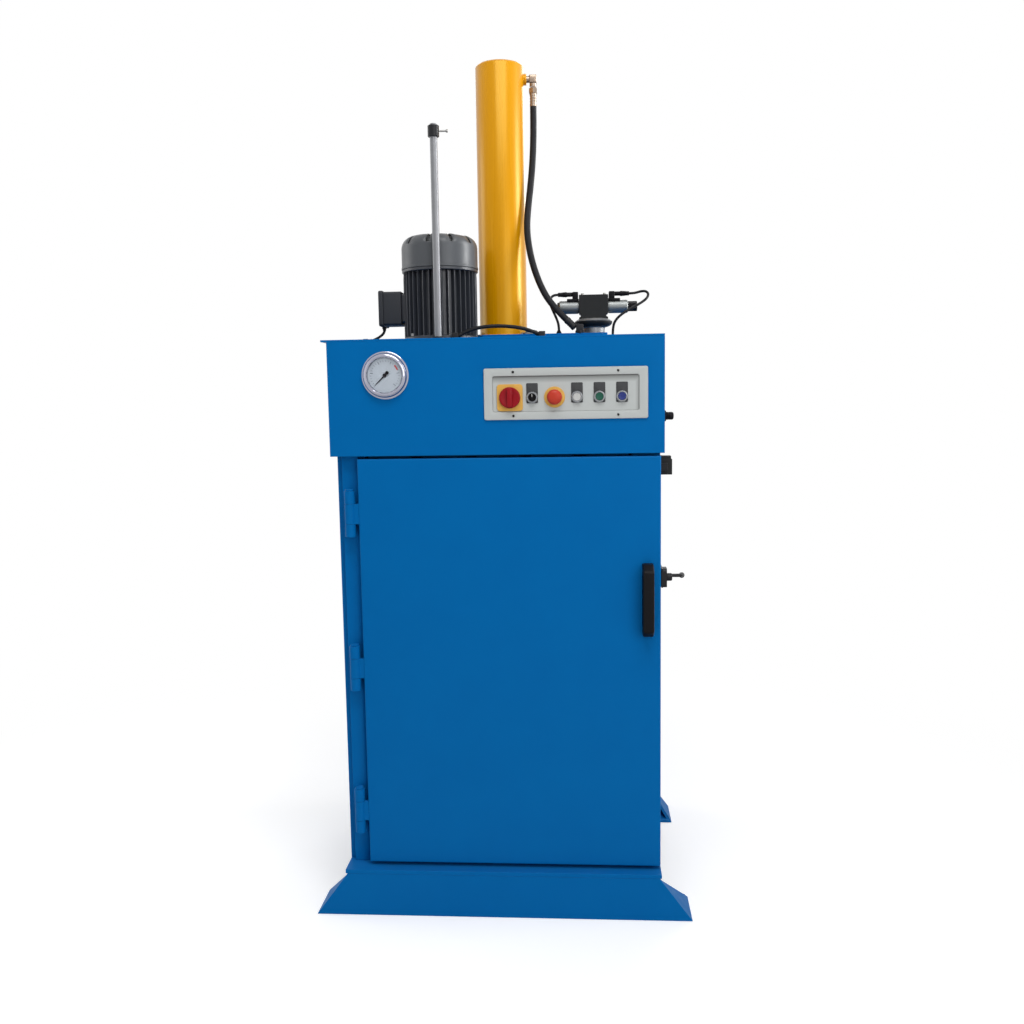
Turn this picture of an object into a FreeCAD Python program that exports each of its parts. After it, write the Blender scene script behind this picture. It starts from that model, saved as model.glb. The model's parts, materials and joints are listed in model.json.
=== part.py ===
import FreeCAD, Part
import math
import os
import re
import Sketcher

# Small upright recycling baler: a folded steel press box on two feet, with a hinged front
# door, a hood across its top and a hydraulic cylinder that stands on the hood and drives a
# guided platen down into the chamber. X runs to the right, Y to the rear and Z up. The
# origin lies on the floor, under the middle of the door's front face.

sizes = {
    # feet and floor
    "foot_height": 115, "foot_width": 996, "foot_top_width": 824, "foot_depth": 132,
    "foot_lead": 27, "foot_plate": 8, "foot_rib_pitch": 165,
    "floor_thickness": 11,
    # press box
    "body_width": 835, "body_depth": 686, "side_depth": 72.5, "wall_sheet": 5,
    "wall_back_gap": 45, "post_return": 75,
    "hinge_face_back": 30, "hinge_face_inset": 14.5, "hinge_face_width": 43, "hinge_face_step": 15,
    "side_rib_height": 70, "side_rib_pitch": 265, "side_rib_rise": 120,
    # door
    "door_height": 1078.5, "door_depth": 45, "door_sheet": 5, "door_bend": 4, "door_gap": 2,
    "door_foot_gap": 10, "door_side_gap": 1.5, "door_rib_height": 80, "door_rib_pitch": 330,
    "liner_sheet": 4,
    "handle_rise": 714, "handle_length": 186, "handle_width": 32, "handle_reach": 46,
    "handle_side_gap": 34, "handle_bar": 16, "handle_bend": 16, "handle_foot": 24,
    "handle_slope": 10, "handle_round": 5,
    # hinges
    "hinge_inset": 37.5, "hinge_reach": 23.6, "hinge_front": 8, "barrel_width": 28,
    "pin_width": 16, "pin_play": 0.05, "knuckle_long": 52.6, "knuckle_short": 33,
    "knuckle_gap": 0.3, "leaf_thickness": 12, "end_hinge_inset": 141, "middle_hinge_rise": 530,
    "pin_head": 22, "pin_head_height": 4,
    # hood
    "hood_margin": 7.5, "hood_height": 295, "hood_gap": 7.5, "hood_sheet": 3, "hood_lip": 26,
    "top_sheet": 5, "top_overhang": 15, "vent_length": 120, "vent_height": 8, "vent_pitch": 26,
    # crown
    "beam_offset": 75, "beam_plate": 12, "beam_height": 150,
    # cylinder and ram
    "barrel_outer": 133, "bore_width": 110, "cylinder_rise": 754, "cylinder_drop": 45,
    "cap_thickness": 26, "gland_length": 80, "rod_width": 60, "piston_length": 60,
    "piston_top_gap": 6, "ram_play": 0.05, "port_drop": 37, "port_width": 30, "port_reach": 8,
    "port_bore": 10, "cap_chamfer": 5, "gland_lip": 12, "gland_width_over": 124,
    "mount_plate_thickness": 20, "mount_plate_left": 115, "mount_plate_right": 290,
    "mount_plate_depth": 220, "plate_cut_side": 65, "plate_cut_back": 77,
    "platen_drop": 22, "platen_sheet": 12, "platen_gap": 7, "rail_height": 16, "rail_gap": 34,
    "platen_rib_height": 50, "platen_rib_sheet": 10, "platen_rib_inner": 120, "platen_rib_outer": 290,
    "socket_width": 110, "socket_height": 60, "guide_boss": 36, "guide_boss_height": 30,
    # guide rod
    "guide_side": 150, "guide_front_gap": 20, "guide_width": 16, "guide_rise": 538.5,
    "bush_width": 30, "bush_flange": 38, "bush_thickness": 8, "bush_length": 45,
    "collar_width": 29, "collar_height": 28, "collar_drop": 4.5, "screw_width": 5,
    "screw_length": 22,
    # power pack
    "motor_side": 158, "motor_back_gap": 52, "motor_core": 164, "motor_outer": 197,
    "motor_base": 14, "motor_base_width": 197, "motor_body_height": 173, "motor_rim": 8,
    "fin_thickness": 3.6, "fin_foot": 14, "cowl_width": 203,
    "cowl_height": 104, "cowl_shoulder": 32, "cowl_sheet": 2.5,
    "slot_inner": 26, "slot_outer": 76, "slot_width": 7,
    "fan_width": 164, "fan_height": 34, "fan_gap": 10, "fan_sheet": 3, "fan_hub": 44,
    "shaft_width": 24, "shaft_play": 0.05, "coupling_width": 38, "coupling_length": 44,
    "terminal_width": 47.5, "terminal_depth": 88, "terminal_height": 94, "terminal_drop": 36,
    "terminal_lid": 13, "terminal_saddle": 3, "saddle_depth": 60,
    "tank_side_gap": 39.5, "tank_reach": 147.5, "tank_depth": 152, "tank_height": 215,
    "tank_sheet": 3, "tank_gap": 4,
    "bell_width": 94, "bell_height": 80, "bell_bore": 44, "pump_width": 84, "pump_depth": 70,
    "pump_height": 95, "shaft_seat": 45,
    # valve
    "valve_side": 253.5, "valve_front": 43, "valve_neck": 62, "valve_neck_height": 19,
    "valve_disc": 104, "valve_disc_height": 22, "valve_chamfer": 8, "valve_length": 80,
    "valve_depth": 48, "valve_height": 65, "valve_waist": 5, "coil_width": 36, "coil_length": 55,
    "coil_drop": 32, "coil_cap": 24, "left_cap": 5, "right_cap": 25,
    "plug_foot": 33, "plug_depth": 30, "plug_foot_height": 7, "plug_post": 16,
    "plug_post_height": 19, "plug_nose": 40, "plug_nose_width": 12,
    # gauge
    "gauge_inset": 149, "gauge_drop": 91, "gauge_flange": 120, "gauge_case": 96,
    "gauge_depth": 45, "gauge_window": 88, "gauge_ring": 112, "gauge_proud": 16,
    "gauge_flange_sheet": 3, "dial_back": 5, "dial_sheet": 1, "glass_sheet": 2, "glass_inset": 4,
    "needle_length": 34, "needle_tail": 12, "needle_tip": 6, "needle_width": 2.6,
    "needle_sheet": 1, "needle_rise": 2, "needle_hub": 10, "needle_pivot": 4, "needle_play": 0.05,
    # control panel
    "panel_inset": 246.5, "panel_drop": 143, "panel_width": 410, "panel_height": 129,
    "panel_thickness": 5, "panel_border": 22, "panel_border_ends": 20, "panel_recess": 2.5,
    "control_lead": 139.5, "control_pitch": 56, "control_drop": 152, "control_hole": 22.4,
    "box_depth": 38, "box_sheet": 2,
    "bezel_width": 29.5, "bezel_proud": 6, "bezel_shank": 22, "bezel_length": 19,
    "cap_width": 19.4, "cap_height": 3, "cap_play": 0.3, "cap_room": 0.5, "cap_edge": 1,
    "press_travel": 4, "stem_width": 10, "stem_play": 0.05, "stem_tail": 3,
    "selector_bar": 7, "selector_reach": 9,
    "legend_width": 29, "legend_height": 50, "legend_thickness": 1.2, "legend_below": 14.5,
    "switch_plate_width": 65, "switch_plate_height": 67, "switch_plate_sheet": 4,
    "switch_plate_round": 8, "switch_knob": 53, "knob_disc": 9, "knob_grip": 13,
    "knob_grip_reach": 17, "knob_gap": 0.3,
    "stop_disc": 52.5, "stop_disc_sheet": 3, "stop_head": 38, "stop_head_height": 15,
    "stop_gap": 5, "stop_edge": 2, "stop_crown": 12,
    # right-hand side
    "gland_back": 60, "gland_drop": 204, "gland_width": 20, "gland_length": 27,
    "gland_nut": 24, "gland_nut_length": 8, "gland_stub": 16, "gland_stub_length": 6,
    "side_switch_width": 30.5, "side_switch_depth": 35, "side_switch_height": 40,
    "side_switch_back": 50, "side_switch_drop": 11, "side_switch_head": 8,
    "side_switch_step": 2.5, "plunger_side": 12.5, "plunger_width": 8, "plunger_play": 0.05,
    "plunger_out": 3.5, "plunger_in": 12, "plunger_room": 6,
    "striker_gap": 0.5, "striker_sheet": 5, "striker_reach": 20, "striker_height": 20,
    "latch_rise": 767, "latch_front": 24, "latch_sheet": 4, "latch_plate": 10,
    "latch_height": 49, "latch_width": 40, "latch_hub": 20, "latch_hub_length": 14,
    "bolt_width": 10, "bolt_play": 0.05, "bolt_rest_gap": 1.5, "bolt_length": 21,
    "latch_arm": 9, "latch_reach": 30, "latch_arm_rise": 4, "latch_grip": 70, "latch_grip_width": 11,
    "latch_ball": 15,
    "latch_round": 8, "hub_gap": 0.3, "hub_wall": 2.5, "keeper_front": 14,
    "keeper_back": 10, "keeper_height": 40,
    # fasteners
    "plate_bolt_width": 30, "plate_bolt_head": 12.5, "plate_bolt_shank": 18,
    "plate_bolt_side": 82, "plate_bolt_left": 95, "plate_bolt_left_front": 20,
    "motor_bolt_ring_width": 180, "motor_bolt_width": 15,
    "motor_bolt_head": 7, "motor_bolt_shank": 9, "panel_screw": 9, "panel_screw_head": 2.5,
    "panel_screw_inset": 74,
    # hoses and cables
    "hose_width": 18, "line_width": 9.5, "cable_width": 6, "lead_width": 7,
    "elbow_side": 92, "elbow_block": 24, "elbow_nipple": 18, "elbow_stem": 20, "elbow_drop": 73,
    "elbow_hex": 26, "elbow_hex_height": 16, "elbow_hex_drop": 22,
    "hose_seat_left": 38.5, "hose_seat_front": 56, "hose_seat_width": 20, "hose_seat_height": 24,
    "hose_end_left": 34, "hose_end_back": 7, "hose_end_rise": 36,
    "line_seat": 16, "line_seat_left": 108, "line_seat_right": 118, "line_rise": 14,
    "line_seat_height": 18, "ferrule_width": 20, "hose_ferrule_length": 38,
    "line_ferrule_width": 12, "line_ferrule_length": 13,
    "cable_gland_width": 14, "cable_gland_height": 9,
    "left_gland_left": 95.5, "left_gland_front": 29,
    "right_gland_right": 51.5, "right_gland_front": 44,
    "lead_seat": 13, "lead_seat_side": 372, "lead_gap": 10, "lead_rise": 8,
    "lead_ferrule_width": 11, "lead_ferrule_length": 12,
}

doc = FreeCAD.newDocument("recycling_baler")
sheet = doc.addObject("Spreadsheet::Sheet", "sizes")
for row, (alias, number) in enumerate(sizes.items(), start=1):
    sheet.set(f"A{row}", alias)
    sheet.set(f"B{row}", str(number))
    sheet.setAlias(f"B{row}", alias)
doc.recompute()

# Places that several pieces share, as formulas over the sheet's sizes.
floor_top = "foot_height + floor_thickness"
door_bottom = f"{floor_top} + door_foot_gap"
door_top = f"{door_bottom} + door_height"
hood_bottom = f"{door_top} + hood_gap"
top_face = f"{hood_bottom} + hood_height"
top_under = f"{top_face} - top_sheet"
body_left = "-body_width / 2"
body_right = "body_width / 2"
hood_left = f"({body_left} - hood_margin)"
hood_right = f"({body_right} + hood_margin)"
panel_x = f"({hood_right} - panel_inset)"
gauge_x = f"({hood_left} + gauge_inset)"
chamber_half = "(body_width / 2 - side_depth)"
seal_face = "door_depth + door_gap"
wall_back = "body_depth - wall_back_gap"
ram_y = "body_depth / 2"
hinge_x = "hinge_inset - body_width / 2"
door_left = f"{hinge_x} + hinge_reach"
door_right = "body_width / 2 - door_side_gap"
beam_front = f"{ram_y} - beam_offset - beam_plate"
beam_back = f"{ram_y} + beam_offset + beam_plate"
tank_back = f"{beam_front} - tank_gap"
tank_front = f"{tank_back} - tank_depth"
motor_x = "-motor_side"
motor_y = f"{tank_back} - motor_back_gap"
guide_x = "-guide_side"
guide_y = f"{tank_front} - guide_front_gap"
plate_top = f"{top_face} + mount_plate_thickness"
barrel_foot = f"{top_face} - cylinder_drop"
barrel_top = f"{top_face} + cylinder_rise"
cap_under = f"{barrel_top} - cap_thickness"
platen_under = f"{hood_bottom} - platen_drop"
platen_base = f"{platen_under} + rail_height"
platen_top = f"{platen_base} + platen_sheet"
valve_y = f"{ram_y} - valve_front"
valve_foot = f"{plate_top} + valve_neck_height + valve_disc_height"
coil_z = f"{valve_foot} + valve_height - coil_drop"
gauge_z = f"{top_face} - gauge_drop"
panel_z = f"{top_face} - panel_drop"
control_z = f"{top_face} - control_drop"
panel_face = "panel_recess - panel_thickness"
latch_z = f"{door_bottom} + latch_rise"
cowl_foot = f"{top_face} + motor_body_height"

turns = {
    "X": FreeCAD.Rotation(FreeCAD.Vector(0, 1, 0), 90),
    "Y": FreeCAD.Rotation(FreeCAD.Vector(1, 0, 0), -90),
    "Z": FreeCAD.Rotation(),
}
planes = {"X": "YZ_Plane", "Y": "XZ_Plane", "Z": "XY_Plane"}
across = {"X": "yz", "Y": "xz", "Z": "xy"}
names = re.compile(r"[a-z][a-z_]+")
parts = {}


def bind(piece, prop, formula):
    """Ties one property to a formula over the sheet's sizes."""
    text = names.sub(lambda word: f"sizes.{word[0]}" if word[0] in sizes else word[0], formula)
    piece.setExpression(prop, text)


def move(piece, **places):
    """Ties the piece's place along each named axis to a formula."""
    for axis, formula in places.items():
        bind(piece, f"Placement.Base.{axis}", formula)
    return piece


def block(name, x, y, z):
    """A box from the low to the high formula along each axis."""
    piece = doc.addObject("Part::Box", name)
    for side, axis, (low, high) in zip(("Length", "Width", "Height"), "xyz", (x, y, z)):
        bind(piece, side, f"({high}) - ({low})")
        bind(piece, f"Placement.Base.{axis}", low)
    return piece


def bar(name, axis, centre, span, width):
    """A round bar of the given diameter along one axis."""
    piece = doc.addObject("Part::Cylinder", name)
    piece.Placement = FreeCAD.Placement(FreeCAD.Vector(), turns[axis])
    bind(piece, "Radius", f"({width}) / 2")
    bind(piece, "Height", f"({span[1]}) - ({span[0]})")
    places = dict(zip(across[axis], centre))
    places[axis.lower()] = span[0]
    return move(piece, **places)


def hexagon(name, axis, centre, span, width):
    """A hexagon bar, its width given across the corners."""
    piece = doc.addObject("Part::Prism", name)
    piece.Polygon = 6
    piece.Placement = FreeCAD.Placement(FreeCAD.Vector(), turns[axis])
    bind(piece, "Circumradius", f"({width}) / 2")
    bind(piece, "Height", f"({span[1]}) - ({span[0]})")
    places = dict(zip(across[axis], centre))
    places[axis.lower()] = span[0]
    return move(piece, **places)


def fuse(name, *pieces):
    piece = doc.addObject("Part::MultiFuse", name)
    piece.Shapes = list(pieces)
    piece.Refine = True
    return piece


def cut(name, base, *tools):
    piece = doc.addObject("Part::Cut", name)
    piece.Base = base
    piece.Tool = tools[0] if len(tools) == 1 else fuse(f"{name}_tools", *tools)
    piece.Refine = True
    return piece


def group(name, *pieces):
    """Separate solids that share one node."""
    piece = doc.addObject("Part::Compound", name)
    piece.Links = list(pieces)
    return piece


def outline(body, name, plane, corners):
    """A closed sketch of straight lines, each corner tied to two formulas."""
    sketch = body.newObject("Sketcher::SketchObject", name)
    origin = [item for item in body.Origin.OriginFeatures if item.Role == plane]
    sketch.AttachmentSupport = [(origin[0], "")]
    sketch.MapMode = "FlatFace"
    rough = [FreeCAD.Vector(number(a), number(b), 0) for a, b in corners]
    for start, end in zip(rough, rough[1:] + rough[:1]):
        sketch.addGeometry(Part.LineSegment(start, end), False)
    for line in range(len(corners)):
        sketch.addConstraint(Sketcher.Constraint("Coincident", line - 1 if line else len(corners) - 1,
                                                 2, line, 1))
    for line, (a, b) in enumerate(corners):
        for kind, formula, place in (("DistanceX", a, rough[line].x), ("DistanceY", b, rough[line].y)):
            index = sketch.addConstraint(Sketcher.Constraint(kind, -1, 1, line, 1, place))
            bind(sketch, f"Constraints[{index}]", formula)
    return sketch


scratch_cell = doc.addObject("App::FeaturePython", "scratch_number")
scratch_cell.addProperty("App::PropertyFloat", "Value")


def number(formula):
    """The present value of a formula over the sheet's sizes."""
    bind(scratch_cell, "Value", formula)
    scratch_cell.recompute()
    return scratch_cell.Value


def extruded(name, axis, corners, span):
    """A body padded along one axis from a sketch of straight lines."""
    body = doc.addObject("PartDesign::Body", name)
    sketch = outline(body, f"{name}_sketch", planes[axis], corners)
    pad = body.newObject("PartDesign::Pad", f"{name}_pad")
    pad.Profile = (sketch, [""])
    pad.Reversed = axis == "Y"
    bind(pad, "Length", f"({span[1]}) - ({span[0]})")
    return move(body, **{axis.lower(): span[0]})


def turned(name, axis, centre, start, corners):
    """A body revolved about one axis from corners given as radius and distance along it."""
    body = doc.addObject("PartDesign::Body", name)
    sketch = outline(body, f"{name}_sketch", "XZ_Plane", corners)
    turn = body.newObject("PartDesign::Revolution", f"{name}_turn")
    turn.Profile = (sketch, [""])
    turn.ReferenceAxis = (sketch, ["V_Axis"])
    turn.Angle = 360
    body.Placement = FreeCAD.Placement(FreeCAD.Vector(), turns[axis])
    places = dict(zip(across[axis], centre))
    places[axis.lower()] = start
    return move(body, **places)


def framed(name, axis, outer, inner, span):
    """A body padded along one axis between an outer and an inner outline."""
    whole = extruded(f"{name}_outer", axis, outer, span)
    hollow = extruded(f"{name}_inner", axis, inner, (f"({span[0]}) - 1", f"({span[1]}) + 1"))
    return cut(name, whole, hollow)


def rectangle(left, right, low, high):
    return [(left, low), (right, low), (right, high), (left, high)]


def finish(piece):
    """Marks a piece as a finished sub-part, whose node has the piece's name."""
    piece.Label = piece.Name
    parts[piece.Name] = piece
    return piece


def round_edges(name, piece, radius, wanted):
    """Rounds the edges that the test picks, by the edge's own middle and direction."""
    doc.recompute()
    picked = []
    for index, edge in enumerate(piece.Shape.Edges, start=1):
        if edge.Curve.TypeId == "Part::GeomLine" and wanted(edge):
            picked.append((index, number(radius), number(radius)))
    rounded = doc.addObject("Part::Fillet", name)
    rounded.Base = piece
    rounded.Edges = picked
    return rounded


# ---- feet and floor ---------------------------------------------------------------------

def foot_solid(name):
    """A folded angle: an upright web, a sole, sloping closed ends and triangular ribs."""
    front = "-foot_lead"
    half = "foot_width / 2"
    half_top = "foot_top_width / 2"
    lean = "foot_plate * 1.25"
    pieces = [
        extruded(f"{name}_web", "Y",
                 [(f"-{half}", "0"), (half, "0"), (half_top, "foot_height"),
                  (f"-{half_top}", "foot_height")],
                 (front, "foot_plate - foot_lead")),
        block(f"{name}_sole", (f"-{half} + foot_plate", f"{half} - foot_plate"),
              (front, "foot_depth - foot_lead"), ("0", "foot_plate")),
    ]
    wedge = [(front, "0"), ("foot_depth - foot_lead", "0"), (front, "foot_height")]
    for side, sign in (("left", "-"), ("right", "")):
        strip = extruded(f"{name}_{side}_strip", "Y",
                         [(f"{sign}({half})", "0"), (f"{sign}({half_top})", "foot_height"),
                          (f"{sign}({half_top} - {lean})", "foot_height"),
                          (f"{sign}({half} - {lean})", "0")],
                         (front, "foot_depth - foot_lead"))
        prism = extruded(f"{name}_{side}_wedge", "X", wedge, (f"-{half}", half))
        end = doc.addObject("Part::Common", f"{name}_{side}_end")
        end.Base = strip
        end.Tool = prism
        pieces.append(end)
    for place in range(-2, 3):
        middle = f"({place}) * foot_rib_pitch"
        pieces.append(extruded(f"{name}_rib_{place + 2}", "X", wedge,
                               (f"{middle} - foot_plate / 2", f"{middle} + foot_plate / 2")))
    return fuse(name, *pieces)


finish(foot_solid("front_foot"))
rear_foot = doc.addObject("Part::Mirroring", "rear_foot")
rear_foot.Source = foot_solid("rear_foot_drawn")
rear_foot.Normal = FreeCAD.Vector(0, 1, 0)
bind(rear_foot, "Base.y", ram_y)
finish(rear_foot)

finish(block("floor_plate", (body_left, body_right), ("-foot_lead", "body_depth + foot_lead"),
             ("foot_height", floor_top)))


# ---- press box --------------------------------------------------------------------------

def side_rib(name, sign, rise):
    """A folded channel that stiffens a side wall."""
    outer = f"{sign} (body_width / 2)"
    web = f"{sign} (body_width / 2 - wall_sheet)"
    wall = f"{sign} ({chamber_half} + wall_sheet)"
    low = f"{floor_top} + {rise}"
    high = f"{low} + side_rib_height"
    corners = [(wall, low), (outer, low), (outer, high), (wall, high),
               (wall, f"{high} - wall_sheet"), (web, f"{high} - wall_sheet"),
               (web, f"{low} + wall_sheet"), (wall, f"{low} + wall_sheet")]
    return extruded(name, "Y", corners,
                    (f"{seal_face} + post_return - wall_sheet", f"{wall_back} + wall_sheet"))


def side_wall(name, sign):
    inner = f"{sign} {chamber_half}"
    outer = f"{sign} ({chamber_half} + wall_sheet)"
    faces = (inner, outer) if sign == "+" else (outer, inner)
    pieces = [block(f"{name}_plate", faces, (seal_face, wall_back), (floor_top, top_under))]
    for level in range(4):
        pieces.append(side_rib(f"{name}_rib_{level}", sign,
                               f"side_rib_rise + {level} * side_rib_pitch"))
    return pieces


def post_leg(name, x, y):
    return block(name, x, y, (floor_top, top_under))


# The left post is one folded sheet: its outer leg, the face that carries the hinges and the
# seal face behind the door's edge.
face_left = f"{body_left} + hinge_face_inset"
face_right = f"{face_left} + hinge_face_width"
step_back = "hinge_face_back + hinge_face_step"
post_back = f"{seal_face} + post_return"
left_post_corners = [
    (body_left, post_back), (body_left, step_back), (face_left, step_back),
    (face_left, "hinge_face_back"), (face_right, "hinge_face_back"), (face_right, seal_face),
    (f"-{chamber_half} - wall_sheet", seal_face),
    (f"-{chamber_half} - wall_sheet", f"{seal_face} + wall_sheet"),
    (f"{face_right} - wall_sheet", f"{seal_face} + wall_sheet"),
    (f"{face_right} - wall_sheet", "hinge_face_back + wall_sheet"),
    (f"{face_left} + wall_sheet", "hinge_face_back + wall_sheet"),
    (f"{face_left} + wall_sheet", f"{step_back} + wall_sheet"),
    (f"{body_left} + wall_sheet", f"{step_back} + wall_sheet"),
    (f"{body_left} + wall_sheet", post_back),
]
hinge_rises = ["end_hinge_inset", "middle_hinge_rise", "door_height - end_hinge_inset"]
half_hinge = "knuckle_long / 2 + knuckle_gap + knuckle_short"
hinge_centre = (hinge_x, "hinge_front")
knuckles = []
bores = []
for index, rise in enumerate(hinge_rises):
    middle = f"{door_bottom} + {rise}"
    for side, low, high in (
            ("lower", f"{middle} - ({half_hinge})", f"{middle} - knuckle_long / 2 - knuckle_gap"),
            ("upper", f"{middle} + knuckle_long / 2 + knuckle_gap", f"{middle} + {half_hinge}")):
        name = f"post_knuckle_{index}_{side}"
        knuckles.append(bar(name, "Z", hinge_centre, (low, high), "barrel_width"))
        knuckles.append(block(f"{name}_leaf",
                              (f"{hinge_x} - leaf_thickness / 2", f"{hinge_x} + leaf_thickness / 2"),
                              ("hinge_front", "hinge_face_back"), (low, high)))
    bores.append(bar(f"post_bore_{index}", "Z", hinge_centre,
                     (f"{middle} - ({half_hinge})", f"{middle} + {half_hinge}"), "pin_width"))
left_post = extruded("left_post", "Z", left_post_corners, (floor_top, top_under))
left_solid = fuse("left_side_solid", left_post, *side_wall("left_wall", "-"), *knuckles)
finish(cut("left_side", left_solid, *bores))

right_pieces = side_wall("right_wall", "+")
right_pieces.append(post_leg("right_post_face", (f"{chamber_half}", body_right),
                             (seal_face, f"{seal_face} + wall_sheet")))
right_pieces.append(post_leg("right_post_leg", (f"{body_right} - wall_sheet", body_right),
                             (seal_face, post_back)))
finish(fuse("right_side", *right_pieces))

rear_pieces = [block("rear_plate", (f"-{chamber_half}", chamber_half),
                     (wall_back, f"{wall_back} + wall_sheet"), (floor_top, top_under))]
for side, sign in (("left", "-"), ("right", "+")):
    leg = (f"{sign} (body_width / 2 - wall_sheet)", f"{sign} body_width / 2")
    web = (f"{sign} {chamber_half}", f"{sign} body_width / 2")
    lip = (f"{sign} {chamber_half}", f"{sign} ({chamber_half} + wall_sheet)")
    if sign == "-":
        leg, web, lip = leg[::-1], web[::-1], lip[::-1]
    rear_pieces.append(post_leg(f"rear_{side}_leg", leg,
                                (f"{wall_back} + wall_sheet", "body_depth")))
    rear_pieces.append(post_leg(f"rear_{side}_web", web,
                                ("body_depth - wall_sheet", "body_depth")))
    rear_pieces.append(post_leg(f"rear_{side}_lip", lip, (wall_back, "body_depth")))
for level in range(4):
    low = f"{floor_top} + side_rib_rise + {level} * side_rib_pitch"
    high = f"{low} + side_rib_height"
    back = "body_depth - wall_sheet"
    plate = f"{wall_back} + wall_sheet"
    corners = [(plate, low), ("body_depth", low), ("body_depth", high), (plate, high),
               (plate, f"{high} - wall_sheet"), (back, f"{high} - wall_sheet"),
               (back, f"{low} + wall_sheet"), (plate, f"{low} + wall_sheet")]
    rear_pieces.append(extruded(f"rear_rib_{level}", "X", corners,
                                (f"-{chamber_half}", chamber_half)))
finish(fuse("rear_wall", *rear_pieces))


# ---- hood and crown ---------------------------------------------------------------------

panel_hole = block("panel_hole",
                   (f"{panel_x} - panel_width / 2 + panel_border + box_sheet",
                    f"{panel_x} + panel_width / 2 - panel_border - box_sheet"),
                   ("-1", "hood_sheet + 1"),
                   (f"{panel_z} - panel_height / 2 + panel_border_ends + box_sheet",
                    f"{panel_z} + panel_height / 2 - panel_border_ends - box_sheet"))
gauge_hole = bar("gauge_hole", "Y", (gauge_x, gauge_z), ("-1", "hood_sheet + 1"),
                 "gauge_case")
gland_z = f"{top_face} - gland_drop"
side_gland_hole = bar("side_gland_hole", "X", ("gland_back", gland_z),
                      (f"{hood_right} - hood_sheet - 1", f"{hood_right} + 1"), "gland_stub")
hood_wrap = [
    (hood_left, "body_depth"), (hood_left, "0"), (hood_right, "0"), (hood_right, "body_depth"),
    (f"{hood_right} - hood_sheet", "body_depth"), (f"{hood_right} - hood_sheet", "hood_sheet"),
    (f"{hood_left} + hood_sheet", "hood_sheet"), (f"{hood_left} + hood_sheet", "body_depth"),
]
hood_solid = fuse("hood_solid",
                  extruded("hood_wrap", "Z", hood_wrap, (hood_bottom, top_under)),
                  block("hood_lip_fold", (f"{hood_left} + hood_sheet", f"{hood_right} - hood_sheet"),
                        ("hood_sheet", "hood_lip"),
                        (hood_bottom, f"{hood_bottom} + hood_sheet")))
box_half = "(panel_width / 2 - panel_border)"
box_half_height = "(panel_height / 2 - panel_border_ends)"
control_box = framed("control_box", "Y",
                     rectangle(f"{panel_x} - {box_half}", f"{panel_x} + {box_half}",
                               f"{panel_z} - {box_half_height}", f"{panel_z} + {box_half_height}"),
                     rectangle(f"{panel_x} - {box_half} + box_sheet",
                               f"{panel_x} + {box_half} - box_sheet",
                               f"{panel_z} - {box_half_height} + box_sheet",
                               f"{panel_z} + {box_half_height} - box_sheet"),
                     ("hood_sheet", "hood_sheet + box_depth"))
control_back = block("control_back", (f"{panel_x} - {box_half}", f"{panel_x} + {box_half}"),
                     ("hood_sheet + box_depth", "hood_sheet + box_depth + box_sheet"),
                     (f"{panel_z} - {box_half_height}", f"{panel_z} + {box_half_height}"))
finish(cut("hood_shell", fuse("hood_with_box", hood_solid, control_box, control_back),
           panel_hole, gauge_hole, side_gland_hole))

vents = []
for index in range(6):
    low = f"{top_under} - 60 - {index} * vent_pitch"
    vents.append(block(f"hood_vent_{index}", ("-vent_length / 2", "vent_length / 2"),
                       ("body_depth - 1", "body_depth + hood_sheet + 1"),
                       (f"{low} - vent_height", low)))
finish(cut("hood_back",
           block("hood_back_sheet", (hood_left, hood_right),
                 ("body_depth", "body_depth + hood_sheet"), (hood_bottom, top_under)),
           *vents))

crown_foot = f"{top_under} - beam_height"
crown_corners = [
    (beam_front, crown_foot), (beam_back, crown_foot), (beam_back, top_under),
    (f"{beam_back} - beam_plate", top_under),
    (f"{beam_back} - beam_plate", f"{crown_foot} + beam_plate"),
    (f"{beam_front} + beam_plate", f"{crown_foot} + beam_plate"),
    (f"{beam_front} + beam_plate", top_under), (beam_front, top_under),
]
finish(cut("crown_beam",
           extruded("crown_channel", "X", crown_corners, (f"-{chamber_half}", chamber_half)),
           bar("crown_rod_hole", "Z", ("0", ram_y),
               (f"{crown_foot} - 1", f"{crown_foot} + beam_plate + 1"), "rod_width + 20")))
doc.recompute()


# ---- cylinder and ram -------------------------------------------------------------------

plate_bolts = []
plate_holes = []
bolt_places = {
    "right_front": ("plate_bolt_side", f"{ram_y} - plate_bolt_side"),
    "right_back": ("plate_bolt_side", f"{ram_y} + plate_bolt_side"),
    "left_back": ("-plate_bolt_side", f"{ram_y} + plate_bolt_side"),
    "left_front": ("-plate_bolt_left", f"{ram_y} - plate_bolt_left_front"),
}
for tag, centre in bolt_places.items():
    plate_holes.append(bar(f"plate_hole_{tag}", "Z", centre, (top_under, plate_top),
                           "plate_bolt_shank"))
    plate_bolts.append(fuse(f"plate_bolt_{tag}",
                            hexagon(f"plate_bolt_head_{tag}", "Z", centre,
                                    (plate_top, f"{plate_top} + plate_bolt_head"),
                                    "plate_bolt_width"),
                            bar(f"plate_bolt_shank_{tag}", "Z", centre, (top_under, plate_top),
                                "plate_bolt_shank")))
plate_front = f"{ram_y} - mount_plate_depth / 2"
plate_back = f"{ram_y} + mount_plate_depth / 2"
finish(cut("cylinder_plate",
           extruded("cylinder_plate_plain", "Z",
                    [("-mount_plate_left", f"{plate_front} + plate_cut_back"),
                     ("plate_cut_side - mount_plate_left", plate_front),
                     ("mount_plate_right", plate_front), ("mount_plate_right", plate_back),
                     ("-mount_plate_left", plate_back)],
                    (top_face, plate_top)),
           bar("plate_barrel_hole", "Z", ("0", ram_y), (f"{top_face} - 1", f"{plate_top} + 1"),
               "barrel_outer"),
           *plate_holes))
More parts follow.
